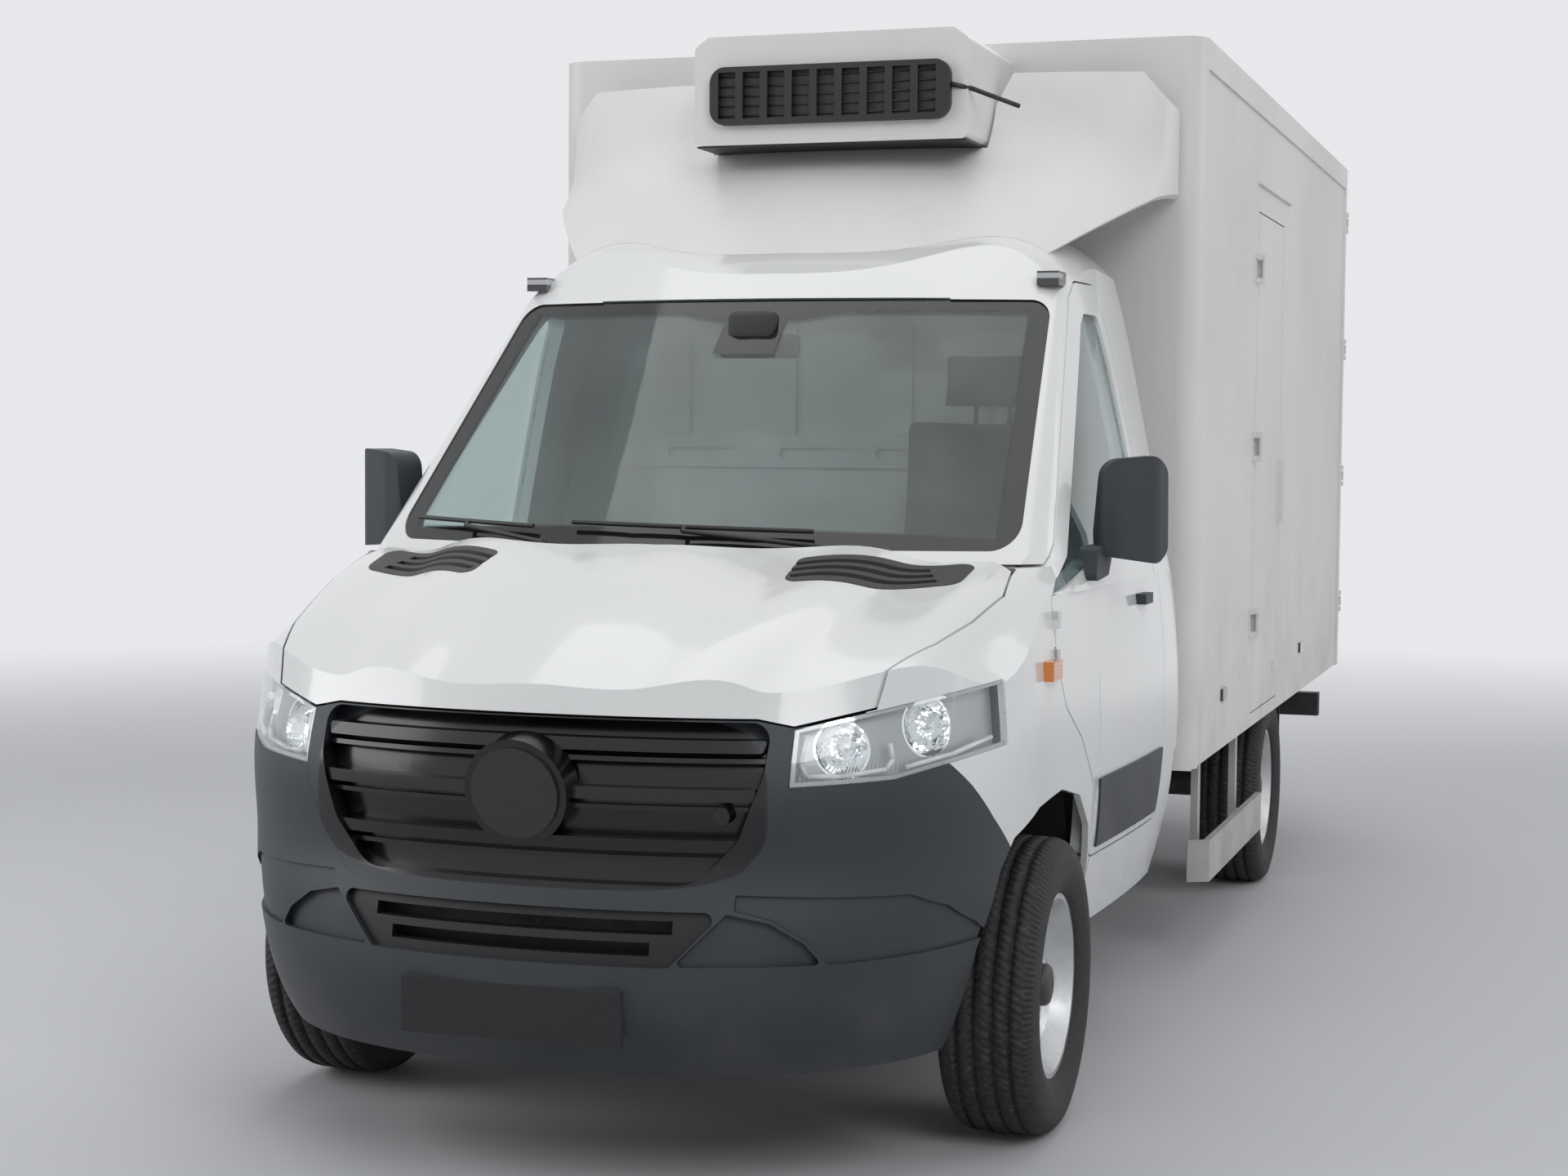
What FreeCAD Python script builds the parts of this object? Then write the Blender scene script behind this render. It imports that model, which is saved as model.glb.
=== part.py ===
import FreeCAD, Part
import math
import os
from functools import lru_cache

# Refrigerated truck: chassis cab with an insulated box, a roof wind deflector and a cooling unit.
# Lengths are millimetres. X is the truck's left, Y points rearwards, Z is up.
# While the pieces are drawn, y = 0 is the front axle. They are moved to the middle at the end.
Vec = FreeCAD.Vector

# Running gear
wheelbase = 3665.0
front_track = 1736.0
rear_track = 1709.0
tyre_radius = 353.0
tyre_width = 235.0
rim_seat_radius = 203.0
fit_gap = 0.3            # between two pieces that touch on a curved face

# Overall stations, measured from the front axle
front_overhang = 1004.0
box_front = 1600.0
box_rear = 5440.0
door_hardware = 30.0     # hinges and lock rods behind the rear doors

# Cab skin
cab_half_width = 1005.0
cab_back = 1400.0
nose_reach = 955.0       # grille skin ahead of the front axle
belt_z = 1280.0
roof_z = 2245.0
side_wall = 50.0         # a door is this thick with its inner panel
hood_wall = 22.0
fender_wall = 16.0
bumper_wall = 28.0
glass_set = 9.0          # glass lies this far behind the skin
glass_thick = 8.0
panel_gap = 5.0
cab_floor_z = 790.0
floor_thick = 25.0
sill_z = 405.0

# Box
box_half_width = 1020.0
skin_step = 8.0          # the side skins stand this far inside the corner profiles
box_bottom = 672.0
box_top = 2830.0
box_wall = 60.0
box_roof_thick = 60.0
box_floor_top = 940.0
box_floor_thick = 100.0
skirt_thick = 18.0
corner_radius = 70.0
side_door_front = 2820.0
side_door_rear = 3460.0
side_door_bottom = 722.0
side_door_top = 2420.0
rear_sill_top = 760.0

# Chassis frame
rail_outer = 400.0
rail_height = 150.0
rail_flange = 60.0
rail_plate = 6.0
rail_top = 760.0
rail_front = -560.0
rail_rear = 5330.0

# Travel of what turns, and the pins it turns on
kingpin_x = 800.0
hinge_out = 22.0         # rear and side door pins stand this far off the box
column_length = 170.0
door_slant = 0.2         # rear faces of the cab doors: forward shift for each unit inward
hood_pin_y = -35.0
hood_pin_z = 1318.0
hood_pin_x = 715.0
cab_door_pin_x = 957.0
cab_door_pin_y = 5.0
door_hinges = (1135.0, 1225.0)
rear_door_pin_x = 1018.0
mirror_turn = 20.0       # degrees

front_axle_y = (front_overhang - (box_rear + door_hardware)) / 2.0
NODES = {}


def vec_yz(points, x=0.0):
    return [Vec(x, y, z) for y, z in points]


def vec_xz(points, y=0.0):
    return [Vec(x, y, z) for x, z in points]


def vec_xy(points, z=0.0):
    return [Vec(x, y, z) for x, y in points]


def closed_face(points):
    return Part.Face(Part.makePolygon(points + [points[0]]))


def rounded_wire(points, radius):
    """Closed polygon with each corner rounded by one arc, as one wire."""
    radii = radius if isinstance(radius, (list, tuple)) else [radius] * len(points)
    edges = []
    cuts = []
    count = len(points)
    for i, corner in enumerate(points):
        before = (points[i - 1] - corner)
        after = (points[(i + 1) % count] - corner)
        half = before.getAngle(after) / 2.0
        before.normalize()
        after.normalize()
        back = radii[i] / math.tan(half)
        middle = before + after
        middle.normalize()
        centre = corner + middle * (radii[i] / math.sin(half))
        cuts.append((corner + before * back, centre - middle * radii[i], corner + after * back))
    for i, (start, mid, end) in enumerate(cuts):
        if radii[i] > 0.01:
            edges.append(Part.Arc(start, mid, end).toShape())
        following = cuts[(i + 1) % count][0]
        if end.distanceToPoint(following) > 0.01:
            edges.append(Part.makeLine(end, following))
    return Part.Wire(edges)


def prism(wire, direction):
    return Part.Face(wire).extrude(direction)


def yz_prism(points, x0, x1, radius=0.0):
    start = vec_yz(points, x0)
    wire = rounded_wire(start, radius) if radius else Part.makePolygon(start + [start[0]])
    return prism(wire, Vec(x1 - x0, 0, 0))


def xz_prism(points, y0, y1, radius=0.0):
    start = vec_xz(points, y0)
    wire = rounded_wire(start, radius) if radius else Part.makePolygon(start + [start[0]])
    return prism(wire, Vec(0, y1 - y0, 0))


def xy_prism(points, z0, z1, radius=0.0):
    start = vec_xy(points, z0)
    wire = rounded_wire(start, radius) if radius else Part.makePolygon(start + [start[0]])
    return prism(wire, Vec(0, 0, z1 - z0))


def block(x0, x1, y0, y1, z0, z1):
    return Part.makeBox(x1 - x0, y1 - y0, z1 - z0, Vec(x0, y0, z0))


def rod(start, end, radius):
    along = end - start
    return Part.makeCylinder(radius, along.Length, start, along)


def mirrored(shape):
    return shape.mirror(Vec(0, 0, 0), Vec(1, 0, 0))


def both(shape):
    return [shape, mirrored(shape)]


def fused(shapes):
    result = shapes[0]
    if len(shapes) > 1:
        result = shapes[0].multiFuse(shapes[1:])
    return result.removeSplitter()


def largest(shape):
    """The main solid of a cut, without the slivers beside it."""
    return max(shape.Solids, key=lambda solid: solid.Volume)


def node(name, shapes):
    """Keeps one piece: a solid, or like solids that don't touch."""
    solids = []
    for shape in shapes if isinstance(shapes, (list, tuple)) else [shapes]:
        solids += shape.Solids
    NODES[name] = solids


def blend(value, table):
    """Straight-line look-up in pairs of (key, value)."""
    if value <= table[0][0]:
        return table[0][1]
    for (a, fa), (b, fb) in zip(table, table[1:]):
        if value <= b:
            return fa + (fb - fa) * (value - a) / (b - a)
    return table[-1][1]


# The cab skin: half width, nose and windscreen as they change with height

def half_width(z):
    drop = [(260, 120), (330, 95), (420, 68), (600, 22), (800, 0), (1000, 0), (1200, 14), (1280, 26),
            (1382, 48), (1500, 72), (1750, 120), (2000, 175), (2100, 200), (2300, 262)]
    return cab_half_width - blend(z, drop)


def nose_y(z):
    back = [(260, 70), (330, 5), (420, -40), (560, -45), (640, -25), (720, 0), (900, 0), (1050, 55), (1200, 110),
            (1500, 200)]
    return -nose_reach + blend(z, back)


shoulder_y = -150.0      # the side runs almost straight back from here
shoulder_in = 50.0
nose_fullness = 0.6645   # handle length of the nose curve: 0.55 would be an ellipse


def bezier(points, z):
    curve = Part.BezierCurve()
    curve.setPoles(vec_xy(points, z))
    return curve.toShape()


def through(points, stations):
    curve = Part.BSplineCurve()
    curve.interpolate(Points=points, Parameters=stations)
    return curve


def patch(spans, levels):
    """Smooth face through one Bezier span at each height."""
    columns = []
    for i in range(4):
        places = [Vec(span[i][0], span[i][1], z) for span, z in zip(spans, levels)]
        columns.append(through(places, levels))
    surface = Part.BSplineSurface()
    surface.buildFromPolesMultsKnots([column.getPoles() for column in columns], [4, 4],
                                     columns[0].getMultiplicities(), [0.0, 1.0], columns[0].getKnots(),
                                     False, False, 3, columns[0].Degree)
    return surface.toShape()


def smooth_column(outline, levels):
    """Upright solid, the same on both sides, with a flat back.

    The outline gives, for a height, the Bezier spans from the rear left corner to the middle of the front.
    """
    rows = [outline(z) for z in levels]
    faces = []
    backs = []
    for i in range(len(rows[0])):
        left = patch([row[i] for row in rows], levels)
        faces += [left, mirrored(left)]
    for sign in (1.0, -1.0):
        places = [Vec(sign * row[0][0][0], row[0][0][1], z) for row, z in zip(rows, levels)]
        backs.append(through(places, levels).toShape())
    for row, z, at in ((rows[0], levels[0], 0), (rows[-1], levels[-1], -1)):
        edges = [bezier(span, z) for span in row]
        edges += [mirrored(edge) for edge in edges]
        corners = [back.Vertexes[at].Point for back in backs]
        across = Part.makeLine(corners[0], corners[1])
        backs.append(across)
        faces.append(Part.Face(Part.Wire(Part.__sortEdges__(edges + [across]))))
    faces.append(Part.Face(Part.Wire(Part.__sortEdges__(backs))))
    shell = Part.makeShell(faces)
    shell.sewShape()
    return Part.makeSolid(shell)


def plan_spans(z, inset):
    """Outline of the lower cab at one height, narrowed all round by inset."""
    width = half_width(z) - inset
    tip = nose_y(z) + inset
    shoulder = width - shoulder_in
    reach = shoulder_y - tip
    side = [(width - 2.0, cab_back), (width + 30.0, 900.0), (shoulder, 200.0), (shoulder, shoulder_y)]
    front = [(shoulder, shoulder_y), (shoulder, shoulder_y - nose_fullness * reach),
             (nose_fullness * shoulder, tip), (0.0, tip)]
    return [side, front]


def dome_half(y):
    """Half width of the raised middle of the bonnet."""
    return blend(y, [(-900, 470), (100, 640)])


def hood_height(x, y):
    """Top of the bonnet: a rising line, crowned across, rolled down over the wings, with a raised middle."""
    line = [(-1200, 930), (-955, 1062), (-880, 1098), (-700, 1190), (-500, 1272), (-300, 1340), (-100, 1396),
            (100, 1442), (400, 1490)]
    a = abs(x)
    crown = 62.0 * (a / 790.0) ** 1.6
    shoulder = blend(y, [(-500, 740), (0, 830), (200, 860)])
    roll = 340.0 * max(0.0, (a - shoulder) / 260.0) ** 2.2
    dome = 13.0 if a < dome_half(y) else 0.0
    return blend(y, line) - crown - roll + dome


def smooth_top(height, rows, drop, deep):
    """Solid below a smooth surface through rows of places (x, y) at the height that a formula gives."""
    last = rows[-1]
    shares = [x - last[0][0] for x, y in last]
    stations = [row[0][1] for row in rows]
    lines = [through([Vec(x, y, height(x, y) - drop) for x, y in row], shares) for row in rows]
    columns = [through(list(places), stations) for places in zip(*[line.getPoles() for line in lines])]
    surface = Part.BSplineSurface()
    surface.buildFromPolesMultsKnots([column.getPoles() for column in columns], lines[0].getMultiplicities(),
                                     columns[0].getMultiplicities(), lines[0].getKnots(), columns[0].getKnots(),
                                     False, False, lines[0].Degree, columns[0].Degree)
    return surface.toShape().extrude(Vec(0, 0, -deep))


def spread(low, high, count):
    return [low + (high - low) * i / (count - 1.0) for i in range(count)]


@lru_cache(maxsize=None)
def under_hood(inset):
    rows = []
    for y in spread(-1150.0, 440.0, 8):
        edge = dome_half(y)
        left = [0.5 * edge, edge - 22.0, edge + 22.0, 0.55 * edge + 380.0, 0.3 * edge + 680.0, 1040.0]
        rows.append([(-x, y) for x in reversed(left)] + [(0.0, y)] + [(x, y) for x in left])
    return smooth_top(hood_height, rows, inset, 1600.0)


def roof_height(x, y):
    a = abs(x)
    side = 15.0 * (a / 700.0) ** 2 + 330.0 * max(0.0, (a - 560.0) / 400.0) ** 2.0
    front = 190.0 * max(0.0, (1150.0 - y) / 500.0) ** 1.7
    return roof_z - side - front


@lru_cache(maxsize=None)
def under_roof(inset):
    across = [-1040.0, -820.0, -640.0, -400.0, 0.0, 400.0, 640.0, 820.0, 1040.0]
    rows = [[(x, y) for x in across] for y in (-400.0, 300.0, 700.0, 950.0, 1150.0, cab_back + 40.0)]
    return smooth_top(roof_height, rows, inset, 1600.0)


@lru_cache(maxsize=None)
def lower_body(inset):
    levels = [260, 330, 420, 600, 800, 1000, 1280]
    return smooth_column(lambda z: plan_spans(z, inset), levels)


@lru_cache(maxsize=None)
def nose_body(inset):
    levels = [290, 340, 420, 545, 640, 720, 900, 1050, 1200, 1480]
    tall = smooth_column(lambda z: plan_spans(z, inset), levels)
    return tall.common(under_hood(inset)).common(block(-1100, 1100, -1100, 440, 290, 1600))


screen_base_y = -105.0   # the windscreen at its middle, at this height
screen_base_z = 1382.0
screen_slope = 1.15
pillar_slope = 1.058


def cabin_spans(z, inset):
    """Outline of the upper cab at one height: windscreen, pillar, side."""
    width = half_width(z) - inset
    middle = screen_base_y + (z - screen_base_z) * screen_slope + inset
    corner_x = blend(z, [(1200, 860), (1382, 838), (2016, 757), (2300, 718)]) - inset * 0.9
    corner_y = 102.0 + (z - screen_base_z) * pillar_slope + inset
    slope = (corner_y - middle) / corner_x
    gap = width - corner_x
    post = (width - 12.0, corner_y + 330.0)
    side = [(width - 2.0, cab_back), (width, post[1] + 0.67 * (cab_back - post[1])),
            (width - 2.0, post[1] + 0.33 * (cab_back - post[1])), post]
    pillar = [post, (width - 18.5, corner_y + 150.0), (corner_x + 0.6 * gap, corner_y + 1.2 * slope * gap),
              (corner_x, corner_y)]
    screen = [(corner_x, corner_y), (0.667 * corner_x, corner_y - 0.667 * slope * corner_x),
              (0.333 * corner_x, middle), (0.0, middle)]
    return [side, pillar, screen]


@lru_cache(maxsize=None)
def cabin_body(inset):
    levels = [1200, 1382, 1600, 1800, 2016, 2200, 2330]
    tall = smooth_column(lambda z: cabin_spans(z, inset), levels)
    return tall.common(under_roof(inset))


def whole_cab(inset):
    """Cab behind the nose, from the sill to the roof."""
    low = lower_body(inset).common(block(-1100, 1100, 398, cab_back + 10, sill_z, belt_z))
    high = cabin_body(inset).common(block(-1100, 1100, -400, cab_back + 10, belt_z, 2400))
    return low.fuse(high)


wiper_stand = 13.0       # blades stand this far off the windscreen

# Outlines seen from the side (y, z) and from the front (x, z)

door_outline = [(385, 603), (1180, 603), (1180, 2075), (930, 2075), (845, 2028), (195, 1395), (10, 1265),
                (20, 1120), (90, 1010), (224, 925), (350, 800)]
door_corners = [30, 1, 1, 60, 120, 60, 12, 100, 60, 60, 60]
window_outline = [(42, 1268), (400, 1345), (1085, 1372), (1058, 1990), (920, 1990), (862, 1958), (225, 1366)]
window_corners = [8, 120, 25, 25, 25, 60, 60]
screen_outline = [(-836, 1380), (836, 1380), (757, 2020), (-757, 2020)]
lamp_outline = [(568, 1034), (569, 915), (760, 925), (1100, 1020), (1100, 1162)]
grille_outline = [(-525, 1048), (525, 1048), (521, 940), (472, 802), (385, 706), (-385, 706), (-472, 802),
                  (-521, 940)]
grille_corners = [40, 40, 150, 90, 90, 90, 90, 150]
surround_outline = [(-592, 1062), (592, 1062), (566, 890), (516, 780), (432, 678), (-432, 678), (-516, 780),
                    (-566, 890)]
surround_corners = [20, 20, 150, 90, 80, 80, 90, 150]
louvre_levels = ((776.0, 462.0), (884.0, 498.0), (984.0, 510.0))
intake_outline = [(-452, 654), (452, 654), (345, 538), (-345, 538)]
gill_outline = [(456, 651), (541, 632), (608, 588), (642, 541), (353, 541)]
brow_outline = [(470, 690), (790, 676), (850, 640), (884, 590), (900, 545), (700, 541), (646, 541), (612, 592),
                (543, 638), (470, 657)]
vent_outline = [(386, -222), (774, -34), (765, -200), (395, -385)]
vent_corners = [25, 30, 60, 25]
hood_plan = [(-850, -40), (-862, -170), (-832, -340), (-790, -500), (-560, -1100), (560, -1100), (790, -500),
             (832, -340), (862, -170), (850, -40), (800, -8), (700, -42), (400, -125), (0, -170),
             (-400, -125), (-700, -42), (-800, -8)]
hood_front = [(-1100, 1170), (-568, 1041), (-494, 1056), (494, 1056), (568, 1041), (1100, 1170), (1100, 1700),
              (-1100, 1700)]
bumper_side = [(-1100, 200), (-452, 200), (-445, 520), (-345, 735), (-383, 767), (-442, 817), (-523, 895),
               (-600, 962), (-700, 1010), (-770, 1056), (-1100, 1056)]
arch_outline = [(-452, 200), (-445, 520), (-390, 690), (-330, 755), (-150, 800), (60, 815), (230, 780),
                (340, 690), (398, 560), (398, 200)]
roof_outline = [(-700, 2024), (700, 2024), (700, 2110), (1100, 2110), (1100, 2500), (-1100, 2500),
                (-1100, 2110), (-700, 2110)]
pillar_side = [(398, sill_z), (1352, sill_z), (1352, 2110), (500, 2110), (-200, 1350), (200, 1350)]


def grown(points, radius, by, x0, x1):
    """Side outline with its corners rounded, widened by a distance, drawn across the cab."""
    wire = rounded_wire(vec_yz(points, x0), radius)
    if by:
        wire = wire.makeOffset2D(by)
    return Part.Face(wire).extrude(Vec(x1 - x0, 0, 0))


def grown_plan(points, by, z0, z1):
    wire = Part.makePolygon(vec_xy(points + [points[0]], z0))
    if by:
        wire = wire.makeOffset2D(by, 2)
    return Part.Face(wire).extrude(Vec(0, 0, z1 - z0))


def door_zone(by):
    """Door outline drawn across the cab. Its rear face slants, so that the door swings free of the pillar."""
    straight = grown(door_outline, door_corners, by, 600, 1100)
    rear = [(-400, 300), (1105, 300), (1105, 603), (1145, 1284), (1120, 1900), (1095, 2300), (-400, 2300)]
    near = []
    for y, z in rear:
        shift = door_slant * (960.0 - half_width(z)) if y > 0 else 0.0
        near.append(Vec(600, y + by + shift - door_slant * 360.0, z))
    wire = Part.makePolygon(near + [near[0]])
    return straight.common(Part.Face(wire).extrude(Vec(500, door_slant * 500.0, 0)))


def make_cab(nose, nose_in, cab, cab_in):
    screen = xz_prism(screen_outline, -400, 850, 60.0)
    roof_zone = xz_prism(roof_outline, -500, 1352)
    doorway = door_zone(panel_gap)
    doorways = both(doorway)
    side_zone = yz_prism(pillar_side, 500, 1100)
    side = cab.common(side_zone).cut(cab_in).cut(screen).cut(roof_zone).cut(doorway)
    sides = both(largest(side))
    node("cab_sides", sides)
    roof = cab.common(roof_zone).cut(cab_in)
    for hole in doorways:
        roof = roof.cut(hole)
    node("cab_roof", roof)
    wall = cab.common(block(-1100, 1100, 1352, cab_back, cab_floor_z - floor_thick, 2400))
    rail = block(-700, 700, 1338, 1353, 1560, 1640)
    for x in (-440, -82, 216, 500):
        rail = rail.cut(xz_prism([(x - 112, 1588), (x + 112, 1588), (x + 112, 1618), (x - 112, 1618)], 1300, 1351,
                                 14.0))
    ribs = [block(x - 35, x + 35, 1342, 1353, 1660, 1980) for x in (-520, -180, 180, 520)]
    node("cab_rear_wall", fused([wall, rail] + ribs))
    node("windshield", screen_pane().common(screen))
    pane = cabin_body(glass_set).cut(cabin_body(glass_set + glass_thick))
    cowl = cabin_body(2.0).cut(cabin_body(30.0)).common(block(-836, 836, -400, 110, 1300, 1380))
    cowl = cowl.cut(grown_plan(hood_plan, panel_gap + 2, 900, 1700))
    for piece in doorways + sides:
        cowl = cowl.cut(piece)
    cowl = cowl.cut(block(-1000, 1000, -82, 140, 1200, 1340))
    for pocket in both(block(hood_pin_x - 30, hood_pin_x + 60, -90, -4, 1290, 1350)):
        cowl = cowl.cut(pocket)
    node("cowl", cowl)
    make_doors(pane, cab, cab_in, doorway)
    make_nose(nose, nose_in, doorways, cab)


def screen_pane():
    """Curved sheet of the windscreen's glass, a little larger than its opening."""
    levels = [1200, 1382, 1600, 1800, 2016, 2200]
    spans = [[(1.02 * x, y) for x, y in cabin_spans(z, glass_set)[2]] for z in levels]
    half = patch(spans, levels).extrude(Vec(0, glass_thick / 0.66, 0))
    return half.fuse(mirrored(half)).removeSplitter()


def make_doors(pane, cab, cab_in, doorway):
    zone = door_zone(0.0)
    panel = cab.common(zone).cut(cab_in)
    front_skin = nose_body(0.0).common(block(600, 1100, -200, 398, 500, belt_z)).common(zone)
    front_skin = front_skin.cut(nose_body(side_wall))
    window = grown(window_outline, window_corners, 0, 600, 1100)
    panel = panel.fuse(front_skin).cut(window)
    for z in door_hinges:
        panel = panel.cut(Part.makeCylinder(12, 26, Vec(cab_door_pin_x, cab_door_pin_y, z - 25.0)))
        panel = panel.fuse(hinge_lug(z + fit_gap, 22.0))
    glass = pane.common(window)
    cladding = lower_body(-6.0).cut(lower_body(-0.3)).common(
        yz_prism([(420, 622), (1096, 622), (1104, 800), (392, 800)], 600, 1200))
    handle = block(975, 1012, 835, 935, 1212, 1240).cut(lower_body(-0.3))
    mirror = make_mirror()
    for side, flip in (("left", False), ("right", True)):
        for name, shape in (("cab_door_" + side, panel), ("door_glass_" + side, glass),
                            ("door_trim_" + side, [cladding, handle] + mirror)):
            shapes = shape if isinstance(shape, list) else [shape]
            node(name, [mirrored(s) if flip else s for s in shapes])


def hinge_lug(z, reach):
    """Half of a small cab door hinge: a round lug on the pin with a foot on the door or, reversed, on the wing."""
    lug = Part.makeCylinder(6, 20, Vec(cab_door_pin_x, cab_door_pin_y, z))
    y = sorted((cab_door_pin_y + math.copysign(3.0, reach), cab_door_pin_y + reach))
    return lug.fuse(block(cab_door_pin_x - 19, cab_door_pin_x, y[0], y[1], z, z + 20))


def make_mirror():
    """Door mirror: an arm on the corner of the window and a rounded head, turned towards the driver."""
    arm = yz_prism([(300, 1300), (455, 1310), (490, 1352), (480, 1388), (320, 1385)], 880, 985, 15.0)
    face = xz_prism([(0, 1362), (160, 1340), (190, 1372), (186, 1580), (150, 1612), (20, 1600)], -80, 60,
                    [40, 30, 40, 50, 40, 50])
    plan = xy_prism([(0, -45), (60, -62), (150, -52), (192, 0), (192, 42), (0, 42)], 1300, 1650,
                    [25, 60, 60, 40, 6, 6])
    head = face.common(plan)
    head.rotate(Vec(0, 0, 0), Vec(0, 0, 1), mirror_turn)
    head.translate(Vec(948, 435, 0))
    whole = arm.fuse(head).cut(cabin_body(-0.3)).cut(lower_body(-0.3))
    return [largest(whole)]


def make_nose(nose, nose_in, doorways, cab):
    lamp = xz_prism(lamp_outline, -1100, -380)
    lamps = both(lamp)
    hood_zone = grown_plan(hood_plan, 0, 900, 1700).common(xz_prism(hood_front, -1200, 400))
    hood_hole = grown_plan(hood_plan, panel_gap, 900, 1700).common(
        xz_prism([(x, z - panel_gap) for x, z in hood_front], -1200, 400))
    hood = nose.cut(nose_in[hood_wall]).common(hood_zone)
    arm = block(hood_pin_x - 15, hood_pin_x + 15, hood_pin_y - 25, hood_pin_y, hood_pin_z, hood_pin_z + 26)
    barrel = rod(Vec(hood_pin_x - 15, hood_pin_y, hood_pin_z), Vec(hood_pin_x + 15, hood_pin_y, hood_pin_z), 7)
    for side in both(arm.common(nose_body(10.0)).fuse(barrel)):
        hood = hood.fuse(side)
    node("hood", make_vents(hood))
    surround = xz_prism(surround_outline, -1200, -600, surround_corners)
    intake_hole = xz_prism(intake_outline, -1200, -600, 18.0)
    bumper_zone = yz_prism(bumper_side, -1100, 1100)
    arch = yz_prism(arch_outline, -1100, 1100, 20.0)
    bumper = nose.cut(nose_in[bumper_wall]).common(bumper_zone)
    gill = xz_prism(gill_outline, -1200, -600, 8.0).cut(nose_body(16.0))
    brow = xz_prism(brow_outline, -1200, -300, 6.0).cut(nose_body(8.0))
    for cut in lamps + both(gill) + both(brow) + [hood_hole, surround, intake_hole, arch]:
        bumper = bumper.cut(cut)
    plate = block(-253, 253, -front_overhang, -980, 367, 489)
    node("front_bumper", largest(bumper).fuse(plate))
    wing = nose.common(block(700, 1100, -1100, 396, 420, 1345)).cut(nose_in[fender_wall])
    for cut in (bumper_zone, lamp, hood_hole, arch, doorways[0], cab):
        wing = wing.cut(cut)
    notches = []
    for z in door_hinges:
        notches.append(Part.makeCylinder(12, 26, Vec(cab_door_pin_x, cab_door_pin_y, z)))
        notches.append(block(cab_door_pin_x - 26, cab_door_pin_x, cab_door_pin_y, 40, z, z + 26))
    sweep = Part.makeCone(52, 32, 67, Vec(790, hood_pin_y, hood_pin_z), Vec(1, 0, 0))
    lugs = [hinge_lug(z - 20.5, -12.0) for z in door_hinges]
    wing = largest(wing).cut(notches + [sweep]).fuse(lugs, 0.005)
    node("fenders", both(largest(wing)))
    make_headlamps()
    make_grille(surround, intake_hole, hood_hole)


def make_vents(hood):
    """Black slatted air vents, let into the bonnet in front of the windscreen."""
    hole = xy_prism(vent_outline, 1100, 1500, vent_corners)
    rim = rounded_wire(vec_xy(vent_outline, 1100), vent_corners).makeOffset2D(-fit_gap)
    plug = Part.Face(rim).extrude(Vec(0, 0, 400))
    vent = nose_body(-2.0).common(plug).cut(nose_body(14.0))
    front = Vec(395, -385, 0)
    along = (Vec(765, -200, 0) - front).normalize()
    across = Vec(along.y, -along.x, 0) * -1.0
    for step in (24.0, 62.0, 100.0):
        start = front + along * 26.0 + across * step
        corners = [start, start + along * 342.0, start + along * 342.0 + across * 20.0, start + across * 20.0]
        slot = closed_face([Vec(c.x, c.y, 1100) for c in corners]).extrude(Vec(0, 0, 400))
        vent = vent.cut(slot.cut(nose_body(9.0)))
    node("hood_vents", both(vent))
    for cut in both(hole):
        hood = hood.cut(cut)
    return hood


def make_headlamps():
    """Housing with two reflector bowls and their bulbs behind a thin clear lens."""
    lamp = xz_prism(lamp_outline, -1100, -380)
    inside = lamp_edge(9.0)
    housing = nose_body(7.0).common(lamp_edge(0.6)).cut(nose_body(95.0))
    housing = housing.cut(inside.common(nose_body(4.0)).cut(nose_body(34.0)))
    for centre, radius in ((Vec(663, -748, 993), 62), (Vec(813, -590, 1030), 66)):
        bowl = Part.makeSphere(radius, centre).common(nose_body(12.0))
        housing = housing.cut(bowl)
        bulb = rod(centre + Vec(0, radius + 4, 0), centre + Vec(0, 12, 0), 9)
        housing = housing.fuse(bulb.common(nose_body(12.0)))
    node("headlamps", both(largest(housing)))
    lens = nose_body(2.0).common(lamp_edge(0.6)).cut(nose_body(6.5))
    node("headlamp_lenses", both(lens))


def lamp_edge(inset):
    """Headlamp outline drawn from front to rear, narrowed all round."""
    wire = Part.makePolygon(vec_xz(lamp_outline + [lamp_outline[0]], -1100)).makeOffset2D(-inset, 2)
    return Part.Face(wire).extrude(Vec(0, 720, 0))


def make_grille(surround, intake_hole, hood_hole):
    """Dark surround, a recessed back plate, three pairs of louvres and a bare round badge place."""
    opening = xz_prism(grille_outline, -1200, -600, grille_corners)
    ring = nose_body(0.3).common(surround).cut(nose_body(60.0)).cut(opening)
    ring = ring.cut(hood_hole)
    back = nose_body(46.0).cut(nose_body(60.0)).common(xz_prism(surround_outline, -1200, -600, surround_corners))
    back = back.common(block(-1000, 1000, -1200, 0, 600, 1050))
    face = ring.fuse(back).cut(both(lamp_edge(-0.6)))
    shelf = nose_body(8.0).common(surround).cut(nose_body(50.0))
    lip = nose_body(20.0).common(surround).cut(nose_body(50.0))
    for z, half in louvre_levels:
        face = face.fuse(shelf.common(xz_prism([(-half, z), (half, z), (half + 8, z + 26), (-half - 8, z + 26)],
                                               -1200, -600, 6.0)))
        face = face.fuse(lip.common(block(-half - 10, half + 10, -1200, -600, z - 22, z - 12)))
    facing = Vec(0, 0.985, 0.17)
    face = face.fuse(Part.makeCylinder(118, 70, Vec(0, -972, 892), facing))
    face = face.fuse(Part.makeCylinder(100, 20, Vec(0, -980, 891), facing))
    sensor = Part.makeCylinder(19, 40, Vec(445, -915, 858), Vec(0, 1, 0))
    face = face.fuse(sensor)
    skin = nose_body(14.0).cut(nose_body(44.0))
    low = skin.common(intake_hole)
    for z in (560, 605):
        low = low.cut(block(-300 - (z - 560), 300 + (z - 560), -1200, -500, z, z + 28))
    node("grille", [largest(face), low])


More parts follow.
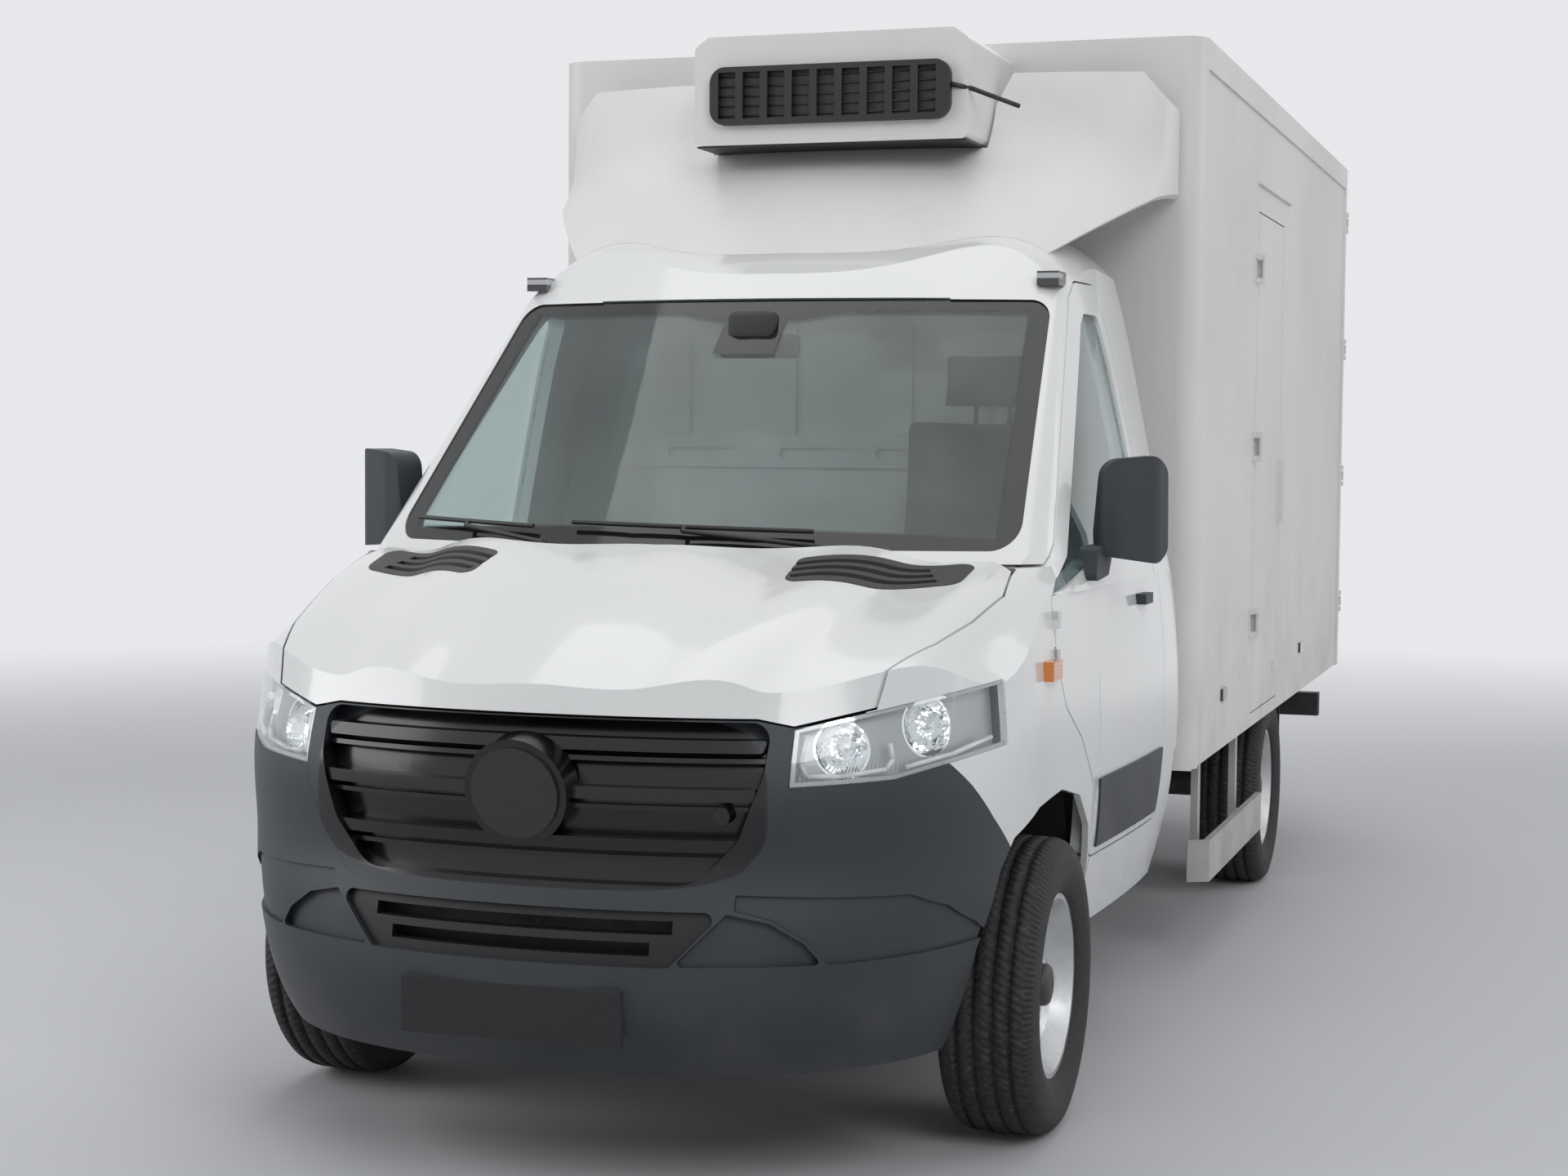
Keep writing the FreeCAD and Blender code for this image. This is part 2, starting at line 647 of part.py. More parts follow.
def make_cab_floor():
    slab = block(-880, 880, 440, 1352, cab_floor_z - floor_thick, cab_floor_z)
    middle = block(-470, 470, -80, 440, cab_floor_z - floor_thick, cab_floor_z)
    firewall = block(-940, 940, -80, -60, 900, 1338).common(nose_body(42.0))
    lug = block(hood_pin_x + 15.5, hood_pin_x + 35, -75, hood_pin_y, 1270, hood_pin_z + 5)
    lug = lug.fuse(rod(Vec(hood_pin_x + 15.5, hood_pin_y, hood_pin_z), Vec(hood_pin_x + 35, hood_pin_y, hood_pin_z), 7))
    firewall = firewall.fuse(block(-490, 490, -80, -60, cab_floor_z - floor_thick, 900))
    over = block(480, 905, -60, 440, 900, 915).common(nose_body(30.0))
    inner = block(470, 490, -470, 440, 640, 915).common(nose_body(30.0))
    riser = block(470, 880, 425, 440, cab_floor_z - floor_thick, 915)
    step = block(868, 880, 440, 1352, sill_z, cab_floor_z).common(lower_body(side_wall + fit_gap))
    outer = [(-470, 300), (-462, 560), (-330, 800), (-100, 900), (250, 900), (425, 640), (430, 300)]
    inside = [(430 - 8, 300), (417, 640), (245, 892), (-98, 892), (-324, 794), (-454, 558), (-462, 300)]
    liner = yz_prism(outer + inside, 490, 985)
    ahead = liner.common(nose_body(28.3)).common(block(0, 1100, -1000, -340, 0, 2000))
    behind = liner.common(nose_body(16.3)).common(block(0, 1100, -340, 150, 0, 2000))
    last = liner.common(nose_body(70.0)).common(block(0, 1100, 150, 500, 0, 2000))
    node("wheel_housings", both(ahead.fuse([behind, last])))
    parts = [slab, middle, firewall]
    for shape in (over, inner, riser, step, lug):
        parts += both(shape)
    node("cab_floor", fused(parts))


def make_cabin_fittings():
    dash = yz_prism([(-60, 1000), (380, 1000), (440, 1090), (430, 1200), (350, 1290), (100, 1335), (-60, 1250)],
                    -760, 760)
    column = rod(Vec(430, 380, 1100), Vec(430, 380, 1100) + Vec(0, 0.70, 0.71) * column_length, 30)
    hood = yz_prism([(90, 1300), (330, 1280), (352, 1330), (300, 1392), (180, 1392)], 250, 610, 22.0)
    node("dashboard", fused([dash, column, hood]))
    cushion = block(230, 730, 740, 1180, 1040, 1160)
    stand = block(280, 680, 780, 1150, cab_floor_z, 1040)
    back = yz_prism([(1075, 1160), (1180, 1160), (1300, 1700), (1210, 1700)], 240, 720, 25.0)
    head = yz_prism([(1215, 1740), (1300, 1740), (1315, 1890), (1240, 1890)], 340, 620, 20.0)
    neck = yz_prism([(1240, 1690), (1280, 1690), (1290, 1750), (1250, 1750)], 400, 560)
    node("driver_seat", fused([cushion, stand, back, neck, head]))
    hub = Vec(430, 380, 1100) + Vec(0, 0.70, 0.71) * (column_length + fit_gap)
    axis = Vec(0, 0.70, 0.71)
    centre = hub + axis * 30
    section = []
    for i in range(6):
        angle = math.pi * i / 3.0
        section.append(centre + Vec(1, 0, 0) * (188 + 14 * math.cos(angle)) + axis * (14 * math.sin(angle)))
    rim = closed_face(section).revolve(centre, axis, 360)
    boss = Part.makeCylinder(55, 44, hub, axis)
    spokes = []
    for across in (Vec(1, 0, 0), Vec(-1, 0, 0), Vec(0, 0.71, -0.70)):
        beside = axis.cross(across)
        start = centre + across * 40 - beside * 16 - axis * 6
        corners = [start, start + beside * 32, start + beside * 32 + axis * 12, start + axis * 12]
        spokes.append(closed_face(corners).extrude(across * 146))
    node("steering_wheel", fused([rim, boss] + spokes))


def make_wipers():
    """Two wipers at rest along the foot of the windscreen, each an arm and a blade, standing off the glass."""
    sets = []
    for pivot, root, tip, arm_end in ((-330.0, -380.0, -770.0, -590.0), (420.0, 360.0, -270.0, 40.0)):
        places = []
        for i in range(5):
            x = root + (tip - root) * i / 4.0
            places.append(screen_point(x, 1414.0 + 3.0 * i, wiper_stand))
        blade = [rod(a, b, 6.0) for a, b in zip(places, places[1:])]
        blade += [Part.makeSphere(6.0, place) for place in places[1:-1]]
        foot = screen_point(pivot, 1376.0, wiper_stand)
        elbow = screen_point(arm_end, 1406.0, wiper_stand + 6.0)
        arm = rod(foot, elbow, 6.0)
        link = rod(elbow, screen_point(arm_end, 1421.0, wiper_stand), 5.5)
        stem = rod(foot + Vec(0, 14, -9), foot + Vec(0, -3, 2), 9.0)
        sets.append(fused(blade + [arm, link, stem]))
    keep = cabin_body(-0.6)
    node("wipers", [largest(shape.cut(keep)) for shape in sets])


def screen_point(x, z, off):
    """A place ahead of the windscreen's surface."""
    middle = screen_base_y + (z - screen_base_z) * screen_slope
    corner_x = blend(z, [(1200, 860), (1382, 838), (2016, 757)])
    corner_y = 102.0 + (z - screen_base_z) * pillar_slope
    y = middle + (corner_y - middle) * (x / corner_x) ** 2
    return Vec(x, y - 0.66 * off, z + 0.75 * off)


def make_frame():
    def rail(x):
        web = block(x - rail_plate, x, rail_front, rail_rear, rail_top - rail_height, rail_top)
        low = block(x - rail_flange, x, rail_front, rail_rear, rail_top - rail_height,
                    rail_top - rail_height + rail_plate)
        high = block(x - rail_flange, x, rail_front, rail_rear, rail_top - rail_plate, rail_top)
        return web.fuse([low, high])
    left = rail(rail_outer)
    pieces = [left, mirrored(left)]
    for y in (-540, 1300, 2100, 2900, 4300, 5290):
        pieces.append(block(-rail_outer + 3, rail_outer - 3, y - 30, y + 30, 640, 730))
    crash = block(340, 400, -850, rail_front + 4, 560, 640)
    beam = block(-460, 460, -870, -840, 540, 650)
    carrier = block(-420, 420, -841, -740, 540, 560)
    pieces += both(crash) + [beam, carrier]
    node("frame", fused(pieces))


def make_engine():
    motor = block(-300, 300, -500, -90, 480, 1130)
    gearbox = block(-170, 170, -91, 700, 470, 750)
    node("engine", motor.fuse(gearbox).removeSplitter())
    node("radiator", block(-335, 335, -830, -745, 560, 1000))


def make_front_suspension():
    cross = block(-420, 420, -110, 110, 330, 400)
    pieces = [cross]
    foot = block(330, 400, -100, 100, 399, rail_top - rail_height)
    arm = xy_prism([(410, -100), (700, -40), (800, -25), (800, 25), (700, 40), (410, 100)], 195, 222)
    drop = block(380, 440, -100, 100, 195, 335)
    tip = Part.makeCylinder(28, 27, Vec(kingpin_x, 0, 195))
    spring = rod(Vec(600, 0, 221), Vec(600, 0, 892), 42)
    pieces += both(foot) + both(arm) + both(drop) + both(tip) + both(spring)
    node("front_suspension", fused(pieces))


def make_knuckles():
    upright = block(770, 850, -50, 50, 240, 470)
    foot = Part.makeCylinder(26, 20, Vec(kingpin_x, 0, 222 + fit_gap))
    spindle = rod(Vec(845, 0, tyre_radius), Vec(930, 0, tyre_radius), 32)
    knuckle = fused([upright, foot, spindle])
    node("knuckle_left", knuckle)
    node("knuckle_right", mirrored(knuckle))


def tyre_solid():
    """Eight-sided section: bead, sidewalls, shoulders and tread, without its pattern."""
    half = tyre_width / 2.0
    bead = rim_seat_radius + 9.0
    right = [(82, bead), (half, 270), (half - 6, 326), (half - 34, tyre_radius)]
    profile = right + [(-x, z) for x, z in reversed(right)]
    points = [Vec(x, 0, z) for x, z in profile]
    return closed_face(points).revolve(Vec(0, 0, 0), Vec(1, 0, 0), 360)


def rim_solid(bore):
    """Steel rim: a barrel with two flanges, a dished disc with round holes, and a hub."""
    seat = rim_seat_radius + 8.7
    edge = tyre_width / 2.0 - 25.0
    well = rim_seat_radius - 12.0
    outside = [(-edge, seat + 9), (-edge + 4, seat + 9), (-edge + 10, seat), (-62, seat), (-48, well), (34, well),
               (62, seat), (edge - 10, seat), (edge - 4, seat + 9), (edge, seat + 9)]
    inside = [(edge, seat - 5), (44, well - 11), (52, 146), (38, 134), (38, 60), (62, 52), (62, bore), (0, bore),
              (0, 64), (24, 70), (24, 134), (34, 152), (24, well - 11), (-56, well - 11), (-edge, seat - 5)]
    points = [Vec(x, 0, z) for x, z in outside + inside]
    body = closed_face(points).revolve(Vec(0, 0, 0), Vec(1, 0, 0), 360)
    for i in range(8):
        angle = 2.0 * math.pi * i / 8.0
        centre = Vec(0, 102 * math.cos(angle), 102 * math.sin(angle))
        body = body.cut(Part.makeCylinder(19, 60, centre, Vec(1, 0, 0)))
    return body


def make_wheels():
    tyre = tyre_solid()
    for axle, y, track in (("front", 0.0, front_track), ("rear", wheelbase, rear_track)):
        rim = rim_solid(32.3)
        for side, sign in (("left", 1.0), ("right", -1.0)):
            for name, shape in (("tyre", tyre), ("rim", rim)):
                copy = shape.copy() if sign > 0 else mirrored(shape)
                copy.translate(Vec(sign * track / 2.0, y, tyre_radius))
                node("%s_%s_%s" % (name, axle, side), copy)


def make_rear_axle():
    y = wheelbase
    z = tyre_radius
    half = rear_track / 2.0
    profile = [(-half - 60, 0), (-half - 60, 32), (-half + 25, 32), (-half + 25, 45), (-190, 45), (-110, 120),
               (-50, 152), (50, 152), (110, 120), (190, 45), (half - 25, 45), (half - 25, 32), (half + 60, 32),
               (half + 60, 0)]
    outline = Part.makePolygon([Vec(x, y, z + r) for x, r in profile + [profile[0]]])
    banjo = Part.Face(outline).revolve(Vec(0, y, z), Vec(1, 0, 0), 360)
    neck = rod(Vec(0, y, z), Vec(0, y - 260, z + 20), 60)
    shaft = rod(Vec(0, y - 250, z + 20), Vec(0, 690, 601), 38)
    shaft = shaft.cut(block(-60, 60, 600, 700 + fit_gap, 500, 700))
    node("rear_axle", fused([banjo, neck, shaft]))


def make_leaf_springs():
    y = wheelbase
    bottom = tyre_radius + 45 + fit_gap
    leaf = [(y - 700, 560), (y - 350, bottom + 40), (y - 60, bottom), (y + 60, bottom), (y + 350, bottom + 40),
            (y + 700, 560), (y + 700, 590), (y + 350, bottom + 75), (y, bottom + 45), (y - 350, bottom + 75),
            (y - 700, 590)]
    spring = yz_prism(leaf, 430, 500)
    hangers = [block(400, 500, y + s * 700 - 30, y + s * 700 + 30, 555, 670) for s in (-1, 1)]
    whole = fused([spring] + hangers)
    node("leaf_springs", both(whole))


def make_exhaust_and_tank():
    pipe = rod(Vec(260, 100, 560), Vec(260, 2950, 560), 30)
    muffler = rod(Vec(260, 1500, 560), Vec(260, 2050, 560), 75)
    hanger = block(240, 280, 2080, 2120, 585, 640)
    node("exhaust", fused([pipe, muffler, hanger]))
    tank = yz_prism([(1700, 420), (2480, 420), (2480, 700), (1700, 700)], -860, -400, 50.0)
    node("fuel_tank", tank)


def make_box():
    side_x = box_half_width - skin_step
    inner_x = side_x - box_wall
    rear_wall_y = box_rear - 60.0
    ring_bottom = box_top - 87.0
    slab = block(-inner_x, inner_x, box_front + box_wall, rear_wall_y, box_floor_top - box_floor_thick, box_floor_top)
    runner = block(340, 400, box_front + 20, rear_wall_y, rail_top, box_floor_top - box_floor_thick)
    slab = slab.cut(block(-inner_x - 1, inner_x + 1, box_front, box_front + 75, 0, 3000).cut(
        block(75 - box_half_width, box_half_width - 75, 0, 3000, 0, 3000)))
    node("box_floor", fused([slab] + both(runner)))
    post_in = box_half_width - 75.0
    front = block(-post_in, post_in, box_front, box_front + box_wall, box_bottom, ring_bottom)
    front = front.cut(block(-410, 410, box_front - 1, box_front + 100, 600, box_floor_top - box_floor_thick))
    node("box_front_wall", front)
    wall = block(inner_x, side_x, box_front + 75, rear_wall_y, 800, ring_bottom)
    skirt = block(side_x - skirt_thick, side_x, box_front + 75, rear_wall_y, box_bottom, 801)
    wall = wall.fuse(skirt).removeSplitter()
    hole = block(inner_x - 5, side_x + 5, side_door_front - panel_gap, side_door_rear + panel_gap,
                 side_door_bottom - panel_gap, side_door_top + panel_gap)
    left = wall.cut(hole)
    gutter = block(side_x - 1, side_x + 12, side_door_front - 40, side_door_rear + 140, side_door_top + 92,
                   side_door_top + 102)
    pin = (side_x + hinge_out, side_door_front - 10.0)
    pieces = [left, gutter]
    for z in (1000, 1600, 2200):
        for step in (-20.5, 60.5):
            pieces.append(Part.makeCylinder(8, 20, Vec(pin[0], pin[1], z + step)))
            pieces.append(block(side_x - 1, side_x + 6, pin[1] - 60, pin[1], z + step, z + step + 20))
            pieces.append(block(side_x - 1, pin[0], pin[1] - 12, pin[1], z + step, z + step + 20))
    left = fused(pieces)
    node("box_side_walls", [left, mirrored(wall)])
    node("box_roof", block(-960, 960, box_front + box_wall, rear_wall_y, ring_bottom, ring_bottom + box_roof_thick))
    make_box_frame(inner_x, rear_wall_y, ring_bottom, post_in)
    make_box_doors(inner_x, side_x)


def make_box_frame(inner_x, rear_wall_y, ring_bottom, post_in):
    half = box_half_width
    corners = [(-half, box_front), (half, box_front), (half, rear_wall_y), (-half, rear_wall_y)]
    outer = xy_prism(corners, ring_bottom, box_top, [corner_radius, corner_radius, 0.02, 0.02])
    ring = outer.cut(block(-960, 960, box_front + box_wall, rear_wall_y + 5, ring_bottom - 1, box_top + 1))
    outline = [(half - 75, box_front), (half, box_front), (half, box_front + 75), (half - 75, box_front + 75)]
    post = xy_prism(outline, box_bottom, ring_bottom, [0.02, corner_radius, 0.02, 0.02])
    rear_post = block(inner_x - 2, half, rear_wall_y, box_rear, box_bottom, box_top)
    header = block(-half, half, rear_wall_y, box_rear, ring_bottom + 2, box_top)
    sill = block(-half, half, rear_wall_y, box_rear, box_bottom, rear_sill_top)
    pin_y = box_rear + hinge_out
    pieces = [ring, header, sill] + both(post) + both(rear_post)
    for z in (950, 1500, 2050, 2600):
        for step in (-45, 25):
            lug = Part.makeCylinder(9, 20, Vec(rear_door_pin_x, pin_y, z + step))
            foot = block(rear_door_pin_x - 6, rear_door_pin_x + 6, box_rear - 1, pin_y, z + step, z + step + 20)
            pieces += both(lug.fuse(foot))
    node("box_frame", fused(pieces))


def make_box_doors(inner_x, side_x):
    door = block(inner_x, side_x, side_door_front, side_door_rear, side_door_bottom, side_door_top)
    latch = block(side_x - 1, side_x + 22, side_door_rear - 60, side_door_rear - 25, 1360, 1580)
    lamp = block(side_x - 1, side_x + 9, side_door_rear - 125, side_door_rear - 35, 826, 864)
    pin = (side_x + hinge_out, side_door_front - 10.0)
    pieces = [door, latch, lamp]
    for z in (1000, 1600, 2200):
        pieces.append(Part.makeCylinder(8, 60, Vec(pin[0], pin[1], z)))
        pieces.append(block(side_x - 1, side_x + 6, side_door_front + 4, side_door_front + 90, z, z + 60))
        pieces.append(block(side_x + 6, pin[0], pin[1], side_door_front + 30, z, z + 60).cut(
            block(side_x - 5, side_x + 14, 0, side_door_front + 4, 0, 3000)))
    node("box_side_door", fused(pieces))
    pin_y = box_rear + hinge_out
    leaf = block(4, inner_x - 8, box_rear - 60, box_rear - 2, rear_sill_top + 5, box_top - 92)
    pieces = [leaf]
    for z in (950, 1500, 2050, 2600):
        pieces.append(block(640, 930, box_rear - 3, box_rear + 12, z - 20, z + 20))
        pieces.append(block(640, rear_door_pin_x, box_rear + 6, box_rear + 12, z - 20, z + 20))
        pieces.append(Part.makeCylinder(9, 40, Vec(rear_door_pin_x, pin_y, z - 20)))
        pieces.append(block(rear_door_pin_x - 6, rear_door_pin_x + 6, box_rear + 6, pin_y, z - 20, z + 20))
    lock = rod(Vec(60, box_rear + 6, rear_sill_top + 20), Vec(60, box_rear + 6, box_top - 110), 11)
    pieces.append(lock)
    shape = fused(pieces)
    node("rear_door_left", shape)
    node("rear_door_right", mirrored(shape))


def deflector_spans(z, inset):
    middle = 719.0 + (z - 2064.0) * 1.21 + inset
    if z > 2537:
        middle = 1291.3 + (z - 2537.0) * 0.62 + inset
    half = 950.0 - inset
    back = box_front - 15.0
    turn = min(330.0, 0.7 * (back - middle))
    corner = (0.97 * half, middle + turn)
    side = [(half, back), (half, 0.6 * back + 0.4 * corner[1]), (0.99 * half, 0.3 * back + 0.7 * corner[1]), corner]
    front = [corner, (0.80 * half, middle + 0.33 * turn), (0.45 * half, middle), (0.0, middle)]
    return [side, front]


def make_roof_units(cab):
    right = [(500, 2064), (640, 2110), (950, 2365), (950, 2610), (856, 2716), (490, 2716), (420, 2537)]
    outline = right + [(-x, z) for x, z in reversed(right)]
    levels = [2000, 2150, 2300, 2420, 2537, 2650, 2740]
    outer = smooth_column(lambda z: deflector_spans(z, 0.0), levels)
    inner = smooth_column(lambda z: deflector_spans(z, 14.0), levels)
    shell = outer.cut(inner).common(xz_prism(outline, 500, box_front - 15.0))
    shell = shell.cut(cab).cut(block(-380, 452, 1040, box_front, 2484, 2810))
    brace = block(-40, 40, box_front - 60, box_front, 2400, 2440)
    node("wind_deflector", shell.Solids)
    housing = xz_prism([(-372, 2490), (444, 2490), (444, 2770), (400, 2800), (-330, 2800), (-372, 2770)], 1075,
                       box_front, 20.0)
    node("cooling_unit", housing)
    plate = xz_prism([(-317, 2545), (397, 2545), (397, 2710), (-317, 2710)], 1050, 1075, 45.0)
    for i in range(9):
        x = -317 + 714.0 * (i + 0.7) / 9.6
        plate = plate.cut(block(x - 26, x + 26, 1040, 1068, 2562, 2694))
    node("cooling_grille", plate)


def make_guards():
    beam = [(940, 2000), (1005, 2030), (1005, 3185), (985, 3185), (985, 2040), (935, 2018)]
    rail = xy_prism(beam, 268, 399)
    posts = [block(925, 948, y - 22, y + 22, 300, box_floor_top - box_floor_thick) for y in (2160, 2950)]
    posts += [block(925, 990, y - 22, y + 22, 300, 370) for y in (2160, 2950)]
    node("side_guards", both(fused([rail] + posts)))
    flap = block(740, 940, wheelbase + 470, wheelbase + 480, 360, box_floor_top - box_floor_thick)
    node("mud_flaps", both(flap))
    beam = block(-950, 950, 5335, 5400, 450, 550)
    arm = block(340, 400, 5270, 5340, 460, rail_top - rail_height)
    node("rear_bumper", fused([beam] + both(arm)))


def make_lamps():
    rear = block(700, 940, 5400, 5425, 460, 540)
    NODES["lamps"] = both(rear)
    side_x = box_half_width - skin_step
    for y in (2195, 4151):
        NODES["lamps"] += both(block(side_x, side_x + 9, y - 45, y + 45, 826, 864))
    NODES["lamps"].append(block(-side_x - 9, -side_x, 3335, 3425, 826, 864))
    roof = block(712, 772, 790, 880, 2060, 2098).cut(cabin_body(-0.3))
    NODES["lamps"] += both(largest(roof))
    flash = block(935, 972, -110, -15, 1088, 1134).cut(nose_body(-0.3))
    NODES["lamps"] += both(largest(flash))


def build_all():
    nose = nose_body(0.0)
    nose_in = {wall: nose_body(wall) for wall in (hood_wall, bumper_wall, fender_wall)}
    cab = whole_cab(0.0)
    cab_in = whole_cab(side_wall)
    make_cab(nose, nose_in, cab, cab_in)
    make_cab_floor()
    make_cabin_fittings()
    make_wipers()
    make_frame()
    make_engine()
    make_front_suspension()
    make_knuckles()
    make_wheels()
    make_rear_axle()
    make_leaf_springs()
    make_exhaust_and_tank()
    make_box()
    make_roof_units(cabin_body(-0.3))
    make_guards()
    make_lamps()


def write_all():
    os.makedirs("parts", exist_ok=True)
    for name, solids in NODES.items():
        shape = Part.makeCompound(solids) if len(solids) > 1 else solids[0]
        shape.translate(Vec(0, front_axle_y, 0))
        shape.exportStep("parts/%s.step" % name)
        print(name, len(solids), round(shape.Volume / 1e6, 1), shape.isValid())


build_all()
write_all()
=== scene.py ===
import bpy, bmesh, math
from mathutils import Matrix, Vector
from mathutils.bvhtree import BVHTree


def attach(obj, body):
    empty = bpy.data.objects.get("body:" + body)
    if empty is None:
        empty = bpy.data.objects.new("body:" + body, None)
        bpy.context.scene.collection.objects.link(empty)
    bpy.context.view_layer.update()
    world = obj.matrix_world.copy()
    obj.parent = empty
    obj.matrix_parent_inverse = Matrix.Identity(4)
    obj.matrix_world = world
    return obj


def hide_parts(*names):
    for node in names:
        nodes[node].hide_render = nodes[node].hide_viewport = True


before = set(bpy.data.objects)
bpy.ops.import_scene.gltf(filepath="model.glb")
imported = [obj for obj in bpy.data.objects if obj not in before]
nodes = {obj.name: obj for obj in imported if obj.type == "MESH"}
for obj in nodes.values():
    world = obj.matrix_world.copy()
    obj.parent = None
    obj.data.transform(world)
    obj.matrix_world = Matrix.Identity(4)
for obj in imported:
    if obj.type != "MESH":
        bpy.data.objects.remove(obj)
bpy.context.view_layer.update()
frontAxleY = -2.233      # the drawings measure from the front axle, in millimetres


def at(x, y, z):
    return Vector((x / 1000.0, y / 1000.0 + frontAxleY, z / 1000.0))


def sideOf(side):
    return "left" if side > 0 else "right"


# Camera where the photograph was taken from
cameraView = {"place": (2.234, -8.077, 1.652), "yaw": 18.55, "pitch": -3.43, "roll": 0.44, "lens": 58.0,
              "sensor": 36.0, "farthest": 300.0}


def makeCamera(view):
    data = bpy.data.cameras.new("photoCamera")
    data.sensor_width = view["sensor"]
    data.lens = view["lens"]
    data.clip_end = view["farthest"]
    camera = bpy.data.objects.new("photoCamera", data)
    bpy.context.scene.collection.objects.link(camera)
    yaw, pitch, roll = (math.radians(view[key]) for key in ("yaw", "pitch", "roll"))
    ahead = Vector((-math.sin(yaw) * math.cos(pitch), math.cos(yaw) * math.cos(pitch), math.sin(pitch)))
    flat = Vector((math.cos(yaw), math.sin(yaw), 0.0))
    upright = flat.cross(ahead)
    right = flat * math.cos(roll) + upright * math.sin(roll)
    up = upright * math.cos(roll) - flat * math.sin(roll)
    turn = Matrix((right, up, -ahead)).transposed().to_4x4()
    camera.matrix_world = Matrix.Translation(Vector(view["place"])) @ turn
    bpy.context.scene.camera = camera


# Shader expressions: a Value is a number that varies over a surface
class Value:
    def __init__(self, finish, socket):
        self.finish = finish
        self.socket = socket

    def math(self, operation, first, second=None):
        inputs = {0: first}
        if second is not None:
            inputs[1] = second
        made = self.finish.node("ShaderNodeMath", {"operation": operation}, inputs)
        return Value(self.finish, made.outputs[0])

    def __add__(self, other):
        return self.math("ADD", self, other)

    def __radd__(self, other):
        return self.math("ADD", other, self)

    def __sub__(self, other):
        return self.math("SUBTRACT", self, other)

    def __rsub__(self, other):
        return self.math("SUBTRACT", other, self)

    def __mul__(self, other):
        return self.math("MULTIPLY", self, other)

    def __rmul__(self, other):
        return self.math("MULTIPLY", other, self)

    def __truediv__(self, other):
        return self.math("DIVIDE", self, other)

    def __gt__(self, other):
        return self.math("GREATER_THAN", self, other)

    def __lt__(self, other):
        return self.math("LESS_THAN", self, other)

    def __abs__(self):
        return self.math("ABSOLUTE", self)

    def sine(self):
        return self.math("SINE", self)

    def larger(self, other):
        return self.math("MAXIMUM", self, other)


class Finish:
    def __init__(self, name):
        self.material = bpy.data.materials.new(name)
        self.material.use_nodes = True
        self.tree = self.material.node_tree
        self.tree.nodes.clear()
        self.place = self.node("ShaderNodeTexCoord").outputs["Object"]
        split = self.node("ShaderNodeSeparateXYZ", {}, {0: self.place})
        self.x, self.y, self.z = (Value(self, split.outputs[i]) for i in range(3))

    def node(self, kind, settings=None, inputs=None):
        item = self.tree.nodes.new(kind)
        for key, value in (settings or {}).items():
            setattr(item, key, value)
        for key, value in (inputs or {}).items():
            if isinstance(value, Value):
                value = value.socket
            if isinstance(value, bpy.types.NodeSocket):
                self.tree.links.new(value, item.inputs[key])
            else:
                item.inputs[key].default_value = value
        return item

    def stretched(self, factors):
        return self.node("ShaderNodeMapping", {}, {"Vector": self.place, "Scale": factors}).outputs[0]

    def noise(self, scale, detail=3.0, factors=None):
        where = self.stretched(factors) if factors else self.place
        made = self.node("ShaderNodeTexNoise", {}, {"Vector": where, "Scale": scale, "Detail": detail})
        return Value(self, made.outputs["Fac"])

    def cells(self, scale):
        made = self.node("ShaderNodeTexVoronoi", {}, {"Vector": self.place, "Scale": scale})
        return Value(self, made.outputs["Distance"])

    def root(self, value):
        return Value(self, self.node("ShaderNodeMath", {"operation": "SQRT"}, {0: value}).outputs[0])

    def ramp(self, value, low, high):
        made = self.node("ShaderNodeMapRange", {"interpolation_type": "SMOOTHSTEP"},
                         {"Value": value, "From Min": low, "From Max": high})
        return Value(self, made.outputs["Result"])

    def mixed(self, share, first, second):
        made = self.node("ShaderNodeMix", {"data_type": "RGBA"})
        for index, value in ((0, share), (6, first), (7, second)):
            if isinstance(value, Value):
                value = value.socket
            if isinstance(value, bpy.types.NodeSocket):
                self.tree.links.new(value, made.inputs[index])
            else:
                made.inputs[index].default_value = value
        return made.outputs[2]

    def bump(self, height, strength, distance):
        return self.node("ShaderNodeBump", {}, {"Height": height, "Strength": strength,
                                                "Distance": distance}).outputs[0]

    def surface(self, inputs):
        return self.node("ShaderNodeBsdfPrincipled", {}, inputs).outputs[0]

    def done(self, shader):
        self.node("ShaderNodeOutputMaterial", {}, {"Surface": shader})
        return self.material


def tone(r, g, b):
    return (r, g, b, 1.0)


# In the looks below a noise is (scale, detail), a range is where it fades in, a bump is (strength, depth)
roadDust = {"colour": tone(0.28, 0.26, 0.23), "from": 0.35, "top": 0.9, "patch": (5.0, 6.0),
            "patchRange": (0.35, 0.75)}


def dust(finish, top, amount):
    # road film that thins out upwards
    low = 1.0 - finish.ramp(finish.z, roadDust["from"], top)
    return low * finish.ramp(finish.noise(*roadDust["patch"]), *roadDust["patchRange"]) * amount


paint = {"white": tone(0.80, 0.81, 0.81), "shade": tone(0.74, 0.755, 0.76), "film": tone(0.42, 0.39, 0.34),
         "cloud": (1.6, 2.0), "cloudRange": (0.3, 0.7), "cloudShare": 0.5, "filmTop": 1.05, "filmAmount": 0.30,
         "filmRough": 0.6, "peel": (420.0, 2.0), "peelBump": (0.02, 0.0006), "rough": 0.22, "coat": 0.7,
         "coatRough": 0.06}


def cabPaint():
    finish = Finish("cabPaint")
    cloud = finish.ramp(finish.noise(*paint["cloud"]), *paint["cloudRange"])
    film = dust(finish, paint["filmTop"], paint["filmAmount"])
    base = finish.mixed(cloud * paint["cloudShare"], paint["white"], paint["shade"])
    base = finish.mixed(film, base, paint["film"])
    normal = finish.bump(finish.noise(*paint["peel"]), *paint["peelBump"])
    return finish.done(finish.surface({"Base Color": base, "Normal": normal,
                                       "Roughness": film * paint["filmRough"] + paint["rough"],
                                       "Coat Weight": paint["coat"], "Coat Roughness": paint["coatRough"]}))


